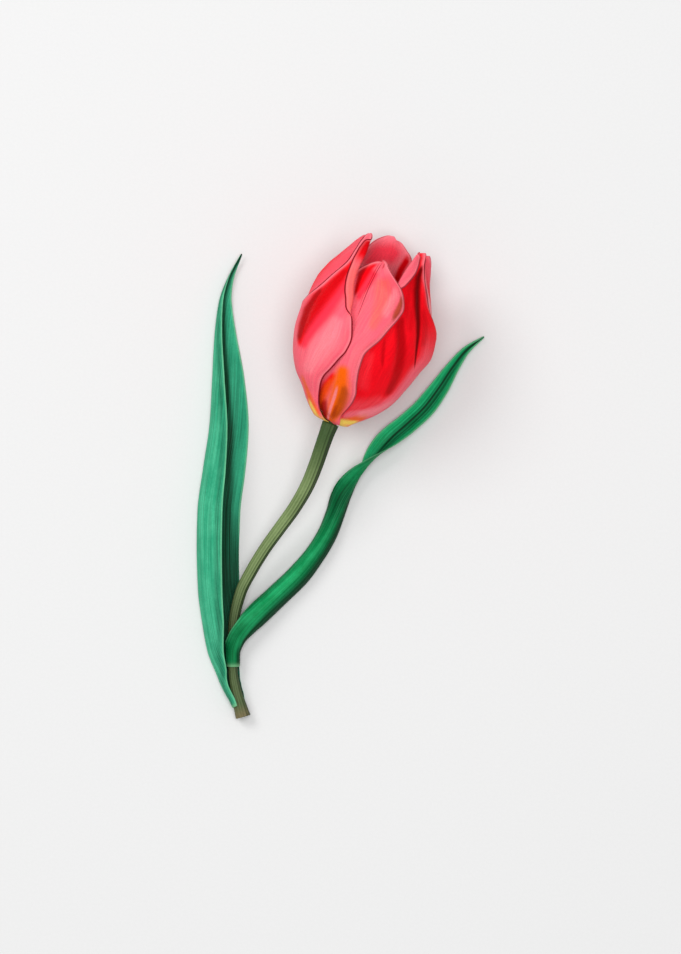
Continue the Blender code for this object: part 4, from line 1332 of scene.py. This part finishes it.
def make_stamens(look):
    """One stamen swept along its line, then repeated round the flower's axis."""
    rows = np.array(FILAMENT + ANTHER)
    wanted = np.linspace(rows[0, 1], rows[-1, 1], STAMEN_STEPS)
    out, height, radii = smooth_rows(rows[:, 1], rows, wanted).T
    radii[-1] *= ANTHER_TIP_SHARE
    points = np.stack([out, np.zeros(len(out)), height], axis=1)
    tree, stamen = lobed_sweep("stamen_ring", look, {
        "Sides": ("Int", STAMEN_SIDES),
        "Lobes": ("Float", ANTHER_LOBES),
        "Lobe Share": ("Float", ANTHER_LOBE_SHARE),
        "Count": ("Int", STAMEN_COUNT),
        "First Angle": ("Float", math.radians(STAMEN_FIRST_DEG)),
    })
    places = tree.node("GeometryNodePoints", {"Count": tree.given["Count"]}).outputs[0]
    number = tree.node("GeometryNodeInputIndex").outputs[0]
    step = tree.sum("DIVIDE", 2 * math.pi, tree.given["Count"])
    angle = tree.sum("MULTIPLY_ADD", number, step, tree.given["First Angle"])
    turn = tree.node("FunctionNodeAxisAngleToRotation", {"Axis": (0.0, 0.0, 1.0), "Angle": angle})
    wires = {"Points": places, "Instance": stamen, "Rotation": turn.outputs[0]}
    ring = tree.node("GeometryNodeInstanceOnPoints", wires).outputs[0]
    piece = tree.mesh_from("stamens_skin", ring, centre_line("stamen_line", points, radii))
    piece.data.transform(flower_matrix())
    stand_in(piece, "stamen", *[f"stamen_{k + 1}" for k in range(STAMEN_COUNT)])


def flower_matrix():
    """From the flower's own frame, front, side and axis as x, y and z, to the table's frame."""
    matrix = Matrix([way.tolist() for way in (FRONT, SIDE, AXIS)]).transposed().to_4x4()
    matrix.translation = (FLOWER_BASE * MM).tolist()
    return matrix


def make_pistil(look):
    """A three-sided ovary under three short frilled stigma arms, as one turned body."""
    table = np.array(PISTIL)
    heights = np.linspace(table[0, 0], STIGMA_TOP, PISTIL_ROWS)[:, None]
    angles = np.linspace(0, 2 * math.pi, PISTIL_SIDES, endpoint=False)
    lobes = np.cos(PISTIL_LOBES * angles)
    ovary = np.interp(heights, *table.T) * (1 + PISTIL_LOBE_SHARE * lobes)
    arms = STIGMA_WAIST + (STIGMA_REACH - STIGMA_WAIST) * np.maximum(lobes, 0) ** STIGMA_POINTEDNESS
    frill = 1 + FRILL_SHARE * np.cos(FRILLS * angles)
    up_dome = np.maximum(0, (heights - STIGMA_DOME_FROM) / (STIGMA_TOP - STIGMA_DOME_FROM))
    dome = np.sqrt(np.maximum(DOME_LEAST_SQUARE, 1 - up_dome**2))
    share = rising(heights, *STIGMA_FROM)
    reach = ovary * (1 - share) + arms * frill * dome * share
    rings = np.stack([reach * np.cos(angles), reach * np.sin(angles), heights + 0 * reach], axis=2)
    ends = [(0, 0, heights[0, 0]), (0, 0, heights[-1, 0])]
    vertices = np.concatenate([rings.reshape(-1, 3), ends])
    bottom, top = len(vertices) - 2, len(vertices) - 1
    index = np.arange(bottom).reshape(PISTIL_ROWS, PISTIL_SIDES)
    after = np.roll(index, -1, axis=1)
    faces = np.stack([index[:-1], after[:-1], after[1:], index[1:]], axis=2).reshape(-1, 4).tolist()
    faces += [(right, left, bottom) for left, right in zip(index[0], after[0])]
    faces += [(left, right, top) for left, right in zip(index[-1], after[-1])]
    mesh = bpy.data.meshes.new("pistil_skin")
    mesh.from_pydata((vertices * MM).tolist(), [], faces)
    mesh.transform(flower_matrix())
    mesh.shade_smooth()
    mesh.materials.append(look)
    stand_in(add_object("pistil_skin", mesh), "pistil", "pistil")


def add_floor():
    """A wide pale matt floor, part of the picture and not of the plant."""
    corners = [(-1, -1), (1, -1), (1, 1), (-1, 1)]
    mesh = bpy.data.meshes.new("floor")
    mesh.from_pydata([(FLOOR_HALF * x, FLOOR_HALF * y, 0) for x, y in corners], [], [(0, 1, 2, 3)])
    mesh.materials.append(floor_look())
    add_object("floor", mesh)


def add_lights():
    """A broad light overhead, a softer window light from the upper left and a pale surround."""
    for name, place, diameter, power in LAMPS:
        light = bpy.data.lights.new(name, "AREA")
        light.shape = "DISK"
        light.size = diameter
        light.energy = power
        lamp = add_object(name, light)
        lamp.location = place
        lamp.rotation_euler = (-lamp.location).to_track_quat("-Z", "Y").to_euler()
    world = bpy.data.worlds.new("surround")
    world.use_nodes = True
    world.node_tree.nodes["Background"].inputs["Color"].default_value = (1.0, 1.0, 1.0, 1.0)
    world.node_tree.nodes["Background"].inputs["Strength"].default_value = SURROUND_STRENGTH
    bpy.context.scene.world = world
    bpy.context.scene.view_settings.view_transform = "Standard"


def add_camera():
    """Straight above the plant with a long lens, framing the same field as the picture."""
    camera = bpy.data.cameras.new("camera")
    camera.sensor_width = SENSOR_MM
    camera.lens = SENSOR_MM * CAMERA_DISTANCE / (PICTURE_HEIGHT_PX * PIXEL_MM)
    camera.clip_end = CAMERA_SEES_TO
    eye = add_object("camera", camera)
    eye.location = (0.0, 0.0, (CAMERA_DISTANCE + CAMERA_FOCUS_HEIGHT) * MM)
    bpy.context.scene.camera = eye


def main():
    petal = petal_look()
    for name in OUTLINES:
        make_petal(name, petal)
    make_leaf("lower_leaf", leaf_look("bluish_leaf", BLUISH_INNER, BLUISH_OUTER))
    make_leaf("upper_leaf", leaf_look("green_leaf", GREEN_INNER, GREEN_OUTER))
    make_stem(stem_look())
    make_pistil(plain_look("green_pistil", PISTIL_GREENS, 1800.0, roughness=0.55, depth=0.0002))
    make_stamens(plain_look("dark_pollen", POLLEN, 4000.0, roughness=0.85, depth=0.0004))
    add_floor()
    add_lights()
    add_camera()


main()
